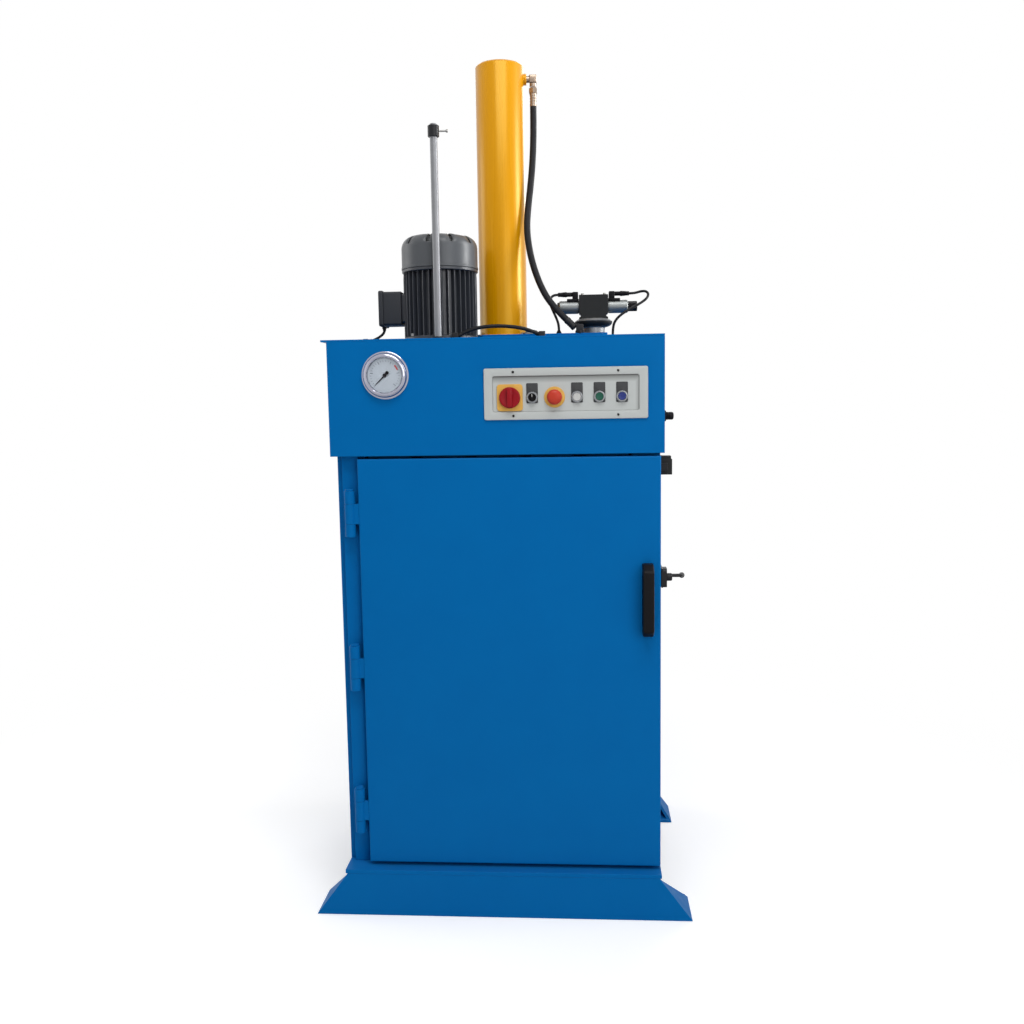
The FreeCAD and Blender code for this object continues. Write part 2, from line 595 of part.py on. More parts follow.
finish(cut("top_plate",
           block("top_sheet_plain", (f"{hood_left} - top_overhang", hood_right),
                 ("0", "body_depth + hood_sheet"), (top_under, top_face)),
           bar("top_barrel_hole", "Z", ("0", ram_y), (f"{top_under} - 1", f"{top_face} + 1"),
               "barrel_outer"),
           bar("top_guide_hole", "Z", (guide_x, guide_y), (f"{top_under} - 1", f"{top_face} + 1"),
               "bush_width"),
           bar("top_pump_hole", "Z", (motor_x, motor_y), (f"{top_under} - 1", f"{top_face} + 1"),
               "bell_width"),
           *plate_holes))

port_z = f"{barrel_top} - port_drop"
barrel_wall = "(barrel_outer - bore_width) / 2"
barrel_solid = fuse("barrel_solid",
                    bar("barrel_tube", "Z", ("0", ram_y), (barrel_foot, cap_under), "barrel_outer"),
                    turned("barrel_cap", "Z", ("0", ram_y), cap_under,
                           [("0", "0"), ("barrel_outer / 2", "0"),
                            ("barrel_outer / 2", "cap_thickness - cap_chamfer"),
                            ("barrel_outer / 2 - cap_chamfer", "cap_thickness"),
                            ("0", "cap_thickness")]),
                    bar("barrel_port", "X", (ram_y, port_z),
                        (f"barrel_outer / 2 - {barrel_wall} / 2", "barrel_outer / 2 + port_reach"),
                        "port_width"))
finish(cut("cylinder_barrel", barrel_solid,
           bar("barrel_bore", "Z", ("0", ram_y), (f"{barrel_foot} - 1", cap_under), "bore_width"),
           bar("barrel_port_bore", "X", (ram_y, port_z),
               ("0", "barrel_outer / 2 + port_reach + 1"), "port_bore")))

gland_bore = "rod_width / 2 + ram_play"
finish(turned("cylinder_gland", "Z", ("0", ram_y), barrel_foot,
              [(gland_bore, "-gland_lip"), ("gland_width_over / 2", "-gland_lip"),
               ("gland_width_over / 2", "0"), ("bore_width / 2", "0"),
               ("bore_width / 2", "gland_length"), (gland_bore, "gland_length")]))

piston_foot = f"{cap_under} - piston_top_gap - piston_length - ({platen_top})"
piston_half = "bore_width / 2 - ram_play"
finish(turned("piston_rod", "Z", ("0", ram_y), platen_top,
              [("0", "0"), ("rod_width / 2", "0"), ("rod_width / 2", piston_foot),
               (piston_half, piston_foot), (piston_half, f"{piston_foot} + piston_length"),
               ("0", f"{piston_foot} + piston_length")]))

platen_half = f"({chamber_half} - platen_gap)"
platen_front = f"{seal_face} + platen_gap"
platen_back = f"{wall_back} - platen_gap"
rail_width = f"((2 * {platen_half} - 4 * rail_gap) / 5)"
platen_pieces = [block("platen_sheet_plain", (f"-{platen_half}", platen_half),
                       (platen_front, platen_back), (platen_base, platen_top))]
for index in range(5):
    low = f"-{platen_half} + {index} * ({rail_width} + rail_gap)"
    platen_pieces.append(block(f"platen_rail_{index}", (low, f"{low} + {rail_width}"),
                               (platen_front, platen_back), (platen_under, platen_base)))
rib_top = f"{platen_top} + platen_rib_height"
for sign in ("-", "+"):
    middle = f"{ram_y} {sign} (socket_width / 2 + platen_rib_sheet / 2)"
    platen_pieces.append(block(f"platen_cross_{'front' if sign == '-' else 'back'}",
                               (f"-{platen_half}", platen_half),
                               (f"{middle} - platen_rib_sheet / 2", f"{middle} + platen_rib_sheet / 2"),
                               (platen_top, rib_top)))
    for rib, place in (("inner", "platen_rib_inner"), ("outer", "platen_rib_outer")):
        middle = f"{sign} {place}"
        platen_pieces.append(block(f"platen_rib_{rib}_{'left' if sign == '-' else 'right'}",
                                   (f"{middle} - platen_rib_sheet / 2",
                                    f"{middle} + platen_rib_sheet / 2"),
                                   (platen_front, platen_back), (platen_top, rib_top)))
platen_pieces.append(bar("platen_socket", "Z", ("0", ram_y),
                         (platen_top, f"{platen_top} + socket_height"), "socket_width"))
platen_pieces.append(bar("platen_guide_boss", "Z", (guide_x, guide_y),
                         (platen_top, f"{platen_top} + guide_boss_height"), "guide_boss"))
finish(cut("platen", fuse("platen_solid", *platen_pieces),
           bar("platen_rod_bore", "Z", ("0", ram_y),
               (platen_top, f"{platen_top} + socket_height + 1"), "rod_width"),
           bar("platen_guide_bore", "Z", (guide_x, guide_y),
               (platen_top, f"{platen_top} + guide_boss_height + 1"), "guide_width")))

guide_top = f"{top_face} + guide_rise"
collar_top = f"{guide_top} - collar_drop"
finish(bar("guide_rod", "Z", (guide_x, guide_y), (platen_top, guide_top), "guide_width"))
collar_solid = fuse("collar_solid",
                    bar("collar_ring", "Z", (guide_x, guide_y),
                        (f"{collar_top} - collar_height", collar_top), "collar_width"),
                    bar("collar_screw", "X", (guide_y, f"{collar_top} - collar_height / 2"),
                        (guide_x, f"{guide_x} + collar_width / 2 + screw_length"),
                        "screw_width"))
finish(cut("stop_collar", collar_solid,
           bar("collar_bore", "Z", (guide_x, guide_y),
               (f"{collar_top} - collar_height - 1", f"{collar_top} + 1"), "guide_width")))
bush_bore = "guide_width / 2 + ram_play"
finish(turned("guide_bush", "Z", (guide_x, guide_y), f"{top_face} + bush_thickness - bush_length",
              [(bush_bore, "0"), ("bush_width / 2", "0"),
               ("bush_width / 2", "bush_length - bush_thickness"),
               ("bush_flange / 2", "bush_length - bush_thickness"),
               ("bush_flange / 2", "bush_length"), (bush_bore, "bush_length")]))


# ---- power pack -------------------------------------------------------------------------

def spread(body, feature, count):
    """Repeats one feature of a body evenly round its Z axis."""
    axis = [item for item in body.Origin.OriginFeatures if item.Role == "Z_Axis"][0]
    ring = body.newObject("PartDesign::PolarPattern", f"{body.Name}_ring")
    ring.Originals = [feature]
    ring.Axis = (axis, [""])
    ring.Angle = 360
    ring.Occurrences = count
    body.Tip = ring


def upright(body, name, corners, thickness):
    """A plate that stands in the body's XZ plane, centred on it."""
    sketch = outline(body, f"{name}_sketch", "XZ_Plane", corners)
    pad = body.newObject("PartDesign::Pad", name)
    pad.Profile = (sketch, [""])
    pad.Midplane = True
    bind(pad, "Length", thickness)
    return pad


fin_count = 36
shaft_bore = "shaft_width / 2 + shaft_play"
core_top = "motor_body_height - motor_rim"
frame = turned("motor_frame", "Z", (motor_x, motor_y), top_face,
               [(shaft_bore, "0"), ("motor_base_width / 2", "0"),
                ("motor_base_width / 2", "motor_base"), ("motor_core / 2", "motor_base"),
                ("motor_core / 2", core_top), ("cowl_width / 2", core_top),
                ("cowl_width / 2", "motor_body_height"), (shaft_bore, "motor_body_height")])
fin_low = "motor_base + fin_foot"
fin = upright(frame, "motor_fin",
              rectangle("motor_core / 2 - 1", "motor_outer / 2", fin_low, core_top),
              "fin_thickness")
spread(frame, fin, fin_count)
terminal_top = f"{cowl_foot} - terminal_drop"
terminal_foot = f"{terminal_top} - terminal_height"
saddle_left = f"{motor_x} - motor_outer / 2 - terminal_saddle"
saddle = block("motor_saddle", (saddle_left, f"{motor_x} - motor_core / 2 + 6"),
               (f"{motor_y} - saddle_depth / 2", f"{motor_y} + saddle_depth / 2"),
               (f"{terminal_foot} + 10", f"{terminal_top} - 10"))
motor_bolts = []
motor_holes = []
for quarter in range(4):
    angle = f"{45 + 90 * quarter} deg"
    centre = (f"{motor_x} + motor_bolt_ring_width / 2 * cos({angle})",
              f"{motor_y} + motor_bolt_ring_width / 2 * sin({angle})")
    base_top = f"{top_face} + motor_base"
    motor_holes.append(bar(f"motor_hole_{quarter}", "Z", centre, (top_face, base_top),
                           "motor_bolt_shank"))
    motor_bolts.append(fuse(f"motor_bolt_{quarter}",
                            hexagon(f"motor_bolt_head_{quarter}", "Z", centre,
                                (base_top, f"{base_top} + motor_bolt_head"), "motor_bolt_width"),
                            bar(f"motor_bolt_shank_{quarter}", "Z", centre, (top_face, base_top),
                                "motor_bolt_shank")))
finish(cut("motor_body", fuse("motor_solid", frame, saddle), *motor_holes))

cowl_top = f"{cowl_foot} + cowl_height"


def domed(name, foot, top, width, radius):
    """A round cap with a rounded shoulder."""
    plain = bar(f"{name}_plain", "Z", (motor_x, motor_y), (foot, top), width)
    doc.recompute()
    rim = [index for index, edge in enumerate(plain.Shape.Edges, start=1)
           if edge.Closed and abs(edge.BoundBox.ZMin - number(top)) < 0.01]
    rounded = doc.addObject("Part::Fillet", name)
    rounded.Base = plain
    rounded.Edges = [(rim[0], number(radius), number(radius))]
    return rounded


slots = doc.addObject("PartDesign::Body", "cowl_slots")
slot_sketch = outline(slots, "cowl_slot_sketch", "XY_Plane",
                      rectangle("slot_inner", "slot_outer", "-slot_width / 2", "slot_width / 2"))
slot_pad = slots.newObject("PartDesign::Pad", "cowl_slot")
slot_pad.Profile = (slot_sketch, [""])
bind(slot_pad, "Length", "cowl_shoulder")
spread(slots, slot_pad, 14)
move(slots, x=motor_x, y=motor_y, z=f"{cowl_top} - cowl_shoulder / 2")
finish(cut("motor_cowl", domed("cowl_outer", cowl_foot, cowl_top, "cowl_width", "cowl_shoulder"),
           domed("cowl_inner", f"{cowl_foot} - 1", f"{cowl_top} - cowl_sheet",
                 "cowl_width - 2 * cowl_sheet", "cowl_shoulder - cowl_sheet"),
           slots))

fan_foot = f"{cowl_foot} + fan_gap"
fan = turned("motor_fan", "Z", (motor_x, motor_y), fan_foot,
             [("shaft_width / 2", "0"), ("fan_width / 2", "0"), ("fan_width / 2", "fan_sheet"),
              ("fan_hub / 2", "fan_sheet"), ("fan_hub / 2", "fan_height"),
              ("shaft_width / 2", "fan_height")])
blade = upright(fan, "fan_blade", rectangle("fan_hub / 2 - 1", "fan_width / 2 - 2",
                                            "fan_sheet - 1", "fan_height"), "fan_sheet")
spread(fan, blade, 9)
finish(fan)

pump_top = f"{top_face} - bell_height"
shaft_foot = f"{pump_top} - shaft_seat"
shaft_length = f"{fan_foot} + fan_height - ({shaft_foot})"
coupling_foot = "shaft_seat + 10"
finish(turned("drive_shaft", "Z", (motor_x, motor_y), shaft_foot,
              [("0", "0"), ("shaft_width / 2", "0"), ("shaft_width / 2", coupling_foot),
               ("coupling_width / 2", coupling_foot),
               ("coupling_width / 2", f"{coupling_foot} + coupling_length"),
               ("shaft_width / 2", f"{coupling_foot} + coupling_length"),
               ("shaft_width / 2", shaft_length), ("0", shaft_length)]))

terminal_right = saddle_left
terminal_left = f"{terminal_right} - terminal_width"
lid_left = f"{terminal_left} - terminal_lid"
terminal_front = f"{motor_y} - terminal_depth / 2"
terminal_back = f"{motor_y} + terminal_depth / 2"
finish(fuse("terminal_box",
            block("terminal_case", (terminal_left, terminal_right),
                  (f"{terminal_front} + 3", f"{terminal_back} - 3"),
                  (f"{terminal_foot} + 3", f"{terminal_top} - 3")),
            block("terminal_cover", (lid_left, terminal_left), (terminal_front, terminal_back),
                  (terminal_foot, terminal_top))))

tank_left = f"tank_side_gap - {chamber_half}"
tank_right = f"{motor_x} + tank_reach"
tank_foot = f"{top_under} - tank_height"
finish(fuse("oil_tank",
            framed("oil_tank_walls", "Z", rectangle(tank_left, tank_right, tank_front, tank_back),
                   rectangle(f"{tank_left} + tank_sheet", f"{tank_right} - tank_sheet",
                             f"{tank_front} + tank_sheet", f"{tank_back} - tank_sheet"),
                   (tank_foot, top_under)),
            block("oil_tank_floor", (tank_left, tank_right), (tank_front, tank_back),
                  (tank_foot, f"{tank_foot} + tank_sheet"))))

finish(cut("gear_pump",
           fuse("pump_solid",
                bar("pump_bell", "Z", (motor_x, motor_y), (pump_top, top_face), "bell_width"),
                block("pump_case", (f"{motor_x} - pump_width / 2", f"{motor_x} + pump_width / 2"),
                      (f"{motor_y} - pump_depth / 2", f"{motor_y} + pump_depth / 2"),
                      (f"{pump_top} - pump_height", pump_top))),
           bar("pump_bell_bore", "Z", (motor_x, motor_y), (pump_top, f"{top_face} + 1"),
               "bell_bore"),
           bar("pump_shaft_bore", "Z", (motor_x, motor_y), (shaft_foot, f"{pump_top} + 1"),
               "shaft_width + 2 * shaft_play")))


# ---- valve ------------------------------------------------------------------------------

finish(turned("valve_manifold", "Z", ("valve_side", valve_y), plate_top,
              [("0", "0"), ("valve_neck / 2", "0"), ("valve_neck / 2", "valve_neck_height"),
               ("valve_disc / 2", "valve_neck_height"),
               ("valve_disc / 2", "valve_neck_height + valve_disc_height - valve_chamfer"),
               ("valve_disc / 2 - valve_chamfer", "valve_neck_height + valve_disc_height"),
               ("0", "valve_neck_height + valve_disc_height")]))
valve_left = "valve_side - valve_length / 2"
valve_right = "valve_side + valve_length / 2"
below_coil = f"({coil_z} - coil_width / 2 - ({valve_foot}))"
waist_foot, waist_low, waist_high, waist_top = (
    f"{valve_foot} + {share} * {below_coil}" for share in (0.25, 0.4, 0.75, 0.95))
valve_top = f"{valve_foot} + valve_height"
finish(extruded("valve_body", "Y",
                [(valve_left, valve_foot), (valve_right, valve_foot), (valve_right, waist_foot),
                 (f"{valve_right} - valve_waist", waist_low),
                 (f"{valve_right} - valve_waist", waist_high),
                 (valve_right, waist_top), (valve_right, valve_top),
                 (valve_left, valve_top), (valve_left, waist_top),
                 (f"{valve_left} + valve_waist", waist_high),
                 (f"{valve_left} + valve_waist", waist_low), (valve_left, waist_foot)],
                (f"{valve_y} - valve_depth / 2", f"{valve_y} + valve_depth / 2")))


plug_foot_z = f"{coil_z} + coil_width / 2 - 3"
post_foot = f"{plug_foot_z} + plug_foot_height"
post_top = f"{post_foot} + plug_post_height"
nose_z = f"{post_top} - plug_nose_width / 2"
nose_end = "2 + plug_post + plug_nose"


def solenoid(name, sign):
    """A coil on the valve's end with its plug on top, whose nose points outwards."""
    face = valve_left if sign == "-" else valve_right

    def outward(near, far):
        ends = (f"{face} {sign} ({near})", f"{face} {sign} ({far})")
        return ends if sign == "+" else ends[::-1]

    cap = "left_cap" if sign == "-" else "right_cap"
    side = (f"{valve_y} - plug_depth / 2", f"{valve_y} + plug_depth / 2")
    return fuse(name,
                bar(f"{name}_coil", "X", (valve_y, coil_z), outward("0", "coil_length"),
                    "coil_width"),
                hexagon(f"{name}_cap", "X", (valve_y, coil_z),
                    outward("coil_length", f"coil_length + {cap}"), "coil_cap"),
                block(f"{name}_foot", outward("0", "plug_foot"), side,
                      (plug_foot_z, post_foot)),
                block(f"{name}_post", outward("2", "2 + plug_post"), side, (post_foot, post_top)),
                bar(f"{name}_nose", "X", (valve_y, nose_z), outward("2 + plug_post", nose_end),
                    "plug_nose_width"))


finish(group("solenoids", solenoid("left_solenoid", "-"), solenoid("right_solenoid", "+")))


# ---- gauge ------------------------------------------------------------------------------

gauge_centre = (gauge_x, gauge_z)
window = "gauge_window / 2"
ring = "gauge_ring / 2"
flange_front = "gauge_proud - gauge_flange_sheet"
case_face = "gauge_proud - dial_back"
pivot_bore = "needle_pivot / 2 + needle_play"
finish(turned("gauge_case", "Y", gauge_centre, "-gauge_proud",
              [(window, "0"), (f"{ring} - 7", "0"), (f"{ring} - 3", "2"), (f"{ring} - 1", "5"),
               (ring, "9"), (ring, flange_front), ("gauge_flange / 2", flange_front),
               ("gauge_flange / 2", "gauge_proud"), ("gauge_case / 2", "gauge_proud"),
               ("gauge_case / 2", "gauge_proud + gauge_depth"), ("0", "gauge_proud + gauge_depth"),
               ("0", "gauge_proud + 1"), (pivot_bore, "gauge_proud + 1"), (pivot_bore, case_face),
               (window, case_face)]))
finish(turned("gauge_dial", "Y", gauge_centre, "-dial_back - dial_sheet",
              [(pivot_bore, "0"), (window, "0"), (window, "dial_sheet"), (pivot_bore, "dial_sheet")]))
finish(bar("gauge_glass", "Y", gauge_centre,
           ("glass_inset - gauge_proud", "glass_inset + glass_sheet - gauge_proud"),
           "gauge_window"))

needle_rest = -135
needle_back = "-dial_back - dial_sheet - needle_rise"
needle_front = f"{needle_back} - needle_sheet"
half_needle = "needle_width / 2"
shoulder = "needle_length - needle_tip"
pointer = extruded("gauge_pointer", "Y",
                   [(f"-{half_needle}", "-needle_tail"), (half_needle, "-needle_tail"),
                    (half_needle, shoulder), ("0", "needle_length"), (f"-{half_needle}", shoulder)],
                   (needle_front, needle_back))
pointer.Placement = FreeCAD.Placement(FreeCAD.Vector(),
                                      FreeCAD.Rotation(FreeCAD.Vector(0, 1, 0), needle_rest))
move(pointer, x=gauge_x, z=gauge_z)
finish(fuse("gauge_needle", pointer,
            bar("needle_hub_disc", "Y", gauge_centre,
                (f"{needle_front} - needle_sheet / 2", needle_back), "needle_hub"),
            bar("needle_pivot_pin", "Y", gauge_centre, (needle_back, "0.5"), "needle_pivot")))


# ---- control panel ----------------------------------------------------------------------

panel_left = f"{panel_x} - panel_width / 2"
panel_right = f"{panel_x} + panel_width / 2"
panel_low = f"{panel_z} - panel_height / 2"
panel_high = f"{panel_z} + panel_height / 2"
controls = [f"{panel_x} - control_lead + {index} * control_pitch" for index in range(6)]
main_x, selector_x, stop_x, white_x, green_x, blue_x = controls
panel_holes = [bar(f"control_hole_{index}", "Y", (x, control_z), ("-panel_thickness - 1", "1"),
                   "control_hole") for index, x in enumerate(controls)]
panel_plain = cut("panel_plain",
                  block("panel_sheet_plain", (panel_left, panel_right), ("-panel_thickness", "0"),
                        (panel_low, panel_high)),
                  block("panel_recess_cut", (f"{panel_left} + panel_border",
                                             f"{panel_right} - panel_border"),
                        ("-panel_thickness - 1", panel_face),
                        (f"{panel_low} + panel_border_ends", f"{panel_high} - panel_border_ends")),
                  *panel_holes)
panel_screws = []
for across_name, x in (("left", f"{panel_left} + panel_screw_inset"),
                       ("right", f"{panel_right} - panel_screw_inset")):
    for along_name, z in (("lower", f"{panel_low} + panel_border_ends / 2"),
                          ("upper", f"{panel_high} - panel_border_ends / 2")):
        panel_screws.append(bar(f"panel_screw_{across_name}_{along_name}", "Y", (x, z),
                                ("-panel_thickness - panel_screw_head", "-panel_thickness"),
                                "panel_screw"))
finish(fuse("control_panel", panel_plain, *panel_screws))

legends = []
for index, x in enumerate((selector_x, white_x, green_x, blue_x)):
    low = f"{control_z} - legend_below"
    legends.append(cut(f"legend_{index}",
                       block(f"legend_sheet_{index}", (f"{x} - legend_width / 2",
                                                       f"{x} + legend_width / 2"),
                             (f"{panel_face} - legend_thickness", panel_face),
                             (low, f"{low} + legend_height")),
                       bar(f"legend_hole_{index}", "Y", (x, control_z),
                           (f"{panel_face} - legend_thickness - 1", f"{panel_face} + 1"),
                           "control_hole")))
finish(group("legend_plates", *legends))

stem_bore = "stem_width / 2 + stem_play"
half_cap = "cap_width / 2"


def bezel(name, x, front, proud, width):
    """A control's ring with its shank, hollow in front for the cap and bored for the stem."""
    cavity = f"{half_cap} + cap_play"
    cavity_floor = "cap_height + press_travel + cap_room"
    back = f"{proud} + bezel_length"
    return turned(name, "Y", (x, control_z), front,
                  [(cavity, "0"), (f"{width} / 2", "0"), (f"{width} / 2", proud),
                   ("bezel_shank / 2", proud), ("bezel_shank / 2", back), (stem_bore, back),
                   (stem_bore, cavity_floor), (cavity, cavity_floor)])


def cap(name, x):
    """A round cap flush with its bezel, on the stem that guides it."""
    tail = "bezel_proud + bezel_length + stem_tail"
    return turned(name, "Y", (x, control_z), bezel_front,
                  [("0", "0"), (f"{half_cap} - cap_edge", "0"), (half_cap, "cap_edge"),
                   (half_cap, "cap_height"), ("stem_width / 2", "cap_height"),
                   ("stem_width / 2", tail), ("0", tail)])


bezel_front = f"{panel_face} - legend_thickness - bezel_proud"
finish(group("button_bezels",
             *(bezel(f"bezel_{index}", x, bezel_front, "bezel_proud", "bezel_width")
               for index, x in enumerate((selector_x, white_x, green_x, blue_x)))))
finish(cap("white_button", white_x))
finish(cap("green_button", green_x))
finish(cap("blue_button", blue_x))
finish(fuse("selector_knob", cap("selector_cap", selector_x),
            block("selector_grip", (f"{selector_x} - selector_bar / 2",
                                    f"{selector_x} + selector_bar / 2"),
                  (f"{bezel_front} - selector_reach", f"{bezel_front} + cap_height"),
                  (f"{control_z} - {half_cap} + cap_edge", f"{control_z} + {half_cap} - cap_edge"))))

stop_front = f"{panel_face} - stop_disc_sheet"
finish(bezel("estop_collar", stop_x, stop_front, "stop_disc_sheet", "stop_disc"))
stop_neck_end = "stop_head_height + stop_gap + cap_height"
stop_tail = "stop_head_height + stop_gap + stop_disc_sheet + bezel_length + stem_tail"
finish(turned("estop_button", "Y", (stop_x, control_z),
              f"{stop_front} - stop_gap - stop_head_height",
              [("0", "0"), ("stop_head / 2 - stop_crown", "0"),
               ("stop_head / 2 - stop_crown / 3", "stop_head_height / 6"),
               ("stop_head / 2", "stop_head_height / 2"),
               ("stop_head / 2", "stop_head_height - stop_edge"),
               ("stop_head / 2 - stop_edge", "stop_head_height"), (half_cap, "stop_head_height"),
               (half_cap, stop_neck_end), ("stem_width / 2", stop_neck_end),
               ("stem_width / 2", stop_tail), ("0", stop_tail)]))

switch_front = f"{panel_face} - switch_plate_sheet"
switch_back = f"{panel_face} + bezel_length"
switch_sheet = block("switch_sheet_plain",
                     (f"{main_x} - switch_plate_width / 2", f"{main_x} + switch_plate_width / 2"),
                     (switch_front, panel_face),
                     (f"{control_z} - switch_plate_height / 2",
                      f"{control_z} + switch_plate_height / 2"))
switch_rounded = round_edges("switch_sheet_rounded", switch_sheet, "switch_plate_round",
                             lambda edge: abs(edge.tangentAt(edge.FirstParameter).y) > 0.99)
finish(cut("main_switch_plate",
           fuse("switch_plate_solid", switch_rounded,
                bar("switch_shank", "Y", (main_x, control_z), (panel_face, switch_back),
                    "bezel_shank")),
           bar("switch_bore", "Y", (main_x, control_z),
               (f"{switch_front} - 1", f"{switch_back} + 1"), "stem_width + 2 * stem_play")))
knob_back = f"{switch_front} - knob_gap"
knob_face = f"{knob_back} - knob_disc"
knob_half = "switch_knob / 2"
finish(fuse("main_switch_knob",
            turned("knob_turned", "Y", (main_x, control_z), knob_face,
                   [("0", "0"), (f"{knob_half} - 3", "0"), (knob_half, "3"),
                    (knob_half, "knob_disc"), ("stem_width / 2", "knob_disc"),
                    ("stem_width / 2", f"{switch_back} + stem_tail - ({knob_face})"),
                    ("0", f"{switch_back} + stem_tail - ({knob_face})")]),
            block("knob_grip_bar", (f"{main_x} - knob_grip / 2", f"{main_x} + knob_grip / 2"),
                  (f"{knob_back} - knob_grip_reach", f"{knob_face} + 1"),
                  (f"{control_z} - {knob_half} + 3", f"{control_z} + {knob_half} - 3"))))


# ---- right-hand side --------------------------------------------------------------------

gland_centre = ("gland_back", gland_z)
finish(fuse("cable_gland",
            bar("gland_stub_bar", "X", gland_centre,
                (f"{hood_right} - gland_stub_length", hood_right), "gland_stub"),
            hexagon("gland_nut_bar", "X", gland_centre,
                    (hood_right, f"{hood_right} + gland_nut_length"), "gland_nut"),
            bar("gland_body_bar", "X", gland_centre,
                (f"{hood_right} + gland_nut_length", f"{hood_right} + gland_length"),
                "gland_width")))

switch_top = f"{door_top} - side_switch_drop"
plunger_centre = (f"{body_right} + plunger_side", f"{switch_top} - side_switch_height / 2")
finish(cut("door_switch",
           fuse("side_switch_solid",
                block("side_switch_body", (body_right, f"{body_right} + side_switch_width"),
                      ("side_switch_back", "side_switch_back + side_switch_depth"),
                      (f"{switch_top} - side_switch_height", switch_top)),
                block("side_switch_cap",
                      (f"{body_right} + side_switch_step",
                       f"{body_right} + side_switch_width - side_switch_step"),
                      ("side_switch_back + side_switch_step",
                       "side_switch_back + side_switch_depth - side_switch_step"),
                      (switch_top, f"{switch_top} + side_switch_head"))),
           bar("plunger_bore", "Y", plunger_centre,
               ("side_switch_back - 1", "side_switch_back + plunger_in + plunger_room"),
               "plunger_width + 2 * plunger_play")))
finish(bar("switch_plunger", "Y", plunger_centre,
           ("side_switch_back - plunger_out", "side_switch_back + plunger_in"), "plunger_width"))

latch_centre = ("latch_front", latch_z)
latch_foot = f"{body_right} + latch_sheet"
latch_face = f"{latch_foot} + latch_plate"
latch_edge = "latch_front - latch_width / 2"
latch_span = (f"{latch_z} - latch_height / 2", f"{latch_z} + latch_height / 2")
latch_bracket = block("latch_bracket", (body_right, latch_foot), (latch_edge, post_back),
                      latch_span)
latch_block = block("latch_block", (latch_foot, latch_face),
                    (latch_edge, "latch_front + latch_width / 2"), latch_span)
latch_rounded = round_edges("latch_rounded", latch_block, "latch_round",
                            lambda edge: abs(edge.tangentAt(edge.FirstParameter).x) > 0.99)
bolt_bore = "bolt_width + 2 * bolt_play"
finish(cut("latch_body", fuse("latch_solid", latch_bracket, latch_rounded),
           bar("latch_bore", "X", latch_centre, (f"{body_right} - 1", f"{latch_face} + 1"),
               bolt_bore)))
bolt_tip = f"{body_right} + bolt_rest_gap"
finish(bar("latch_bolt", "X", latch_centre, (bolt_tip, f"{bolt_tip} + bolt_length"),
           "bolt_width"))
hub_face = f"{latch_face} + hub_gap"
hub_end = f"{hub_face} + latch_hub_length"
arm_end = f"{hub_end} + latch_reach"
arm_z = f"{latch_z} + latch_arm_rise"
grip_x = f"{arm_end} - latch_grip_width / 2"
grip_end = "latch_front + latch_grip"
ball = doc.addObject("Part::Sphere", "latch_ball_end")
bind(ball, "Radius", "latch_ball / 2")
move(ball, x=grip_x, y=grip_end, z=arm_z)
finish(cut("latch_lever",
           fuse("lever_solid",
                bar("lever_hub", "X", latch_centre, (hub_face, hub_end), "latch_hub"),
                bar("lever_arm", "X", ("latch_front", arm_z), (f"{hub_end} - 2", grip_x),
                    "latch_arm"),
                bar("lever_grip", "Y", (grip_x, arm_z),
                    ("latch_front - latch_grip_width / 2", grip_end), "latch_grip_width"),
                ball),
           bar("lever_bore", "X", latch_centre, (f"{hub_face} - 1", f"{hub_end} - hub_wall"),
               bolt_bore)))


# ---- door -------------------------------------------------------------------------------

pan_left = f"{door_left} + door_sheet"
pan_right = f"{door_right} - door_sheet"
pan_low = f"{door_bottom} + door_sheet"
pan_high = f"{door_top} - door_sheet"
pan_plain = block("door_pan_plain", (door_left, door_right), ("0", "door_depth"),
                  (door_bottom, door_top))
pan_rounded = round_edges("door_pan_rounded", pan_plain, "door_bend",
                          lambda edge: abs(edge.BoundBox.YMax) < 0.01)
pan = cut("door_pan", pan_rounded,
          block("door_pan_hollow", (pan_left, pan_right), ("door_sheet", "door_depth + 1"),
                (pan_low, pan_high)))
door_pieces = [pan]
door_bores = []
pins = []
for index, rise in enumerate(hinge_rises):
    middle = f"{door_bottom} + {rise}"
    span = (f"{middle} - knuckle_long / 2", f"{middle} + knuckle_long / 2")
    door_pieces.append(bar(f"door_knuckle_{index}", "Z", hinge_centre, span, "barrel_width"))
    door_pieces.append(block(f"door_leaf_{index}", (hinge_x, f"{door_left} + 1"),
                             ("hinge_front - leaf_thickness / 2",
                              "hinge_front + leaf_thickness / 2"), span))
    door_bores.append(bar(f"door_bore_{index}", "Z", hinge_centre,
                          (f"{span[0]} - 1", f"{span[1]} + 1"), "pin_width + 2 * pin_play"))
    pin_top = f"{middle} + {half_hinge}"
    pins.append(fuse(f"hinge_pin_{index}",
                     bar(f"hinge_pin_shank_{index}", "Z", hinge_centre,
                         (f"{middle} - ({half_hinge})", pin_top), "pin_width"),
                     bar(f"hinge_pin_head_{index}", "Z", hinge_centre,
                         (pin_top, f"{pin_top} + pin_head_height"), "pin_head")))
finish(group("hinge_pins", *pins))
plunger_tip = "side_switch_back - plunger_out - striker_gap"
striker_z = plunger_centre[1]
door_pieces.append(block("door_striker", (pan_right, f"{door_right} + striker_reach"),
                         (f"{plunger_tip} - striker_sheet", plunger_tip),
                         (f"{striker_z} - striker_height / 2",
                          f"{striker_z} + striker_height / 2")))
door_bores.append(block("door_keeper_slot", (f"{pan_right} - 1", f"{door_right} + 1"),
                        ("latch_front - keeper_front", "latch_front + keeper_back"),
                        (f"{latch_z} - keeper_height / 2", f"{latch_z} + keeper_height / 2")))
finish(cut("door_panel", fuse("door_panel_solid", *door_pieces), *door_bores))

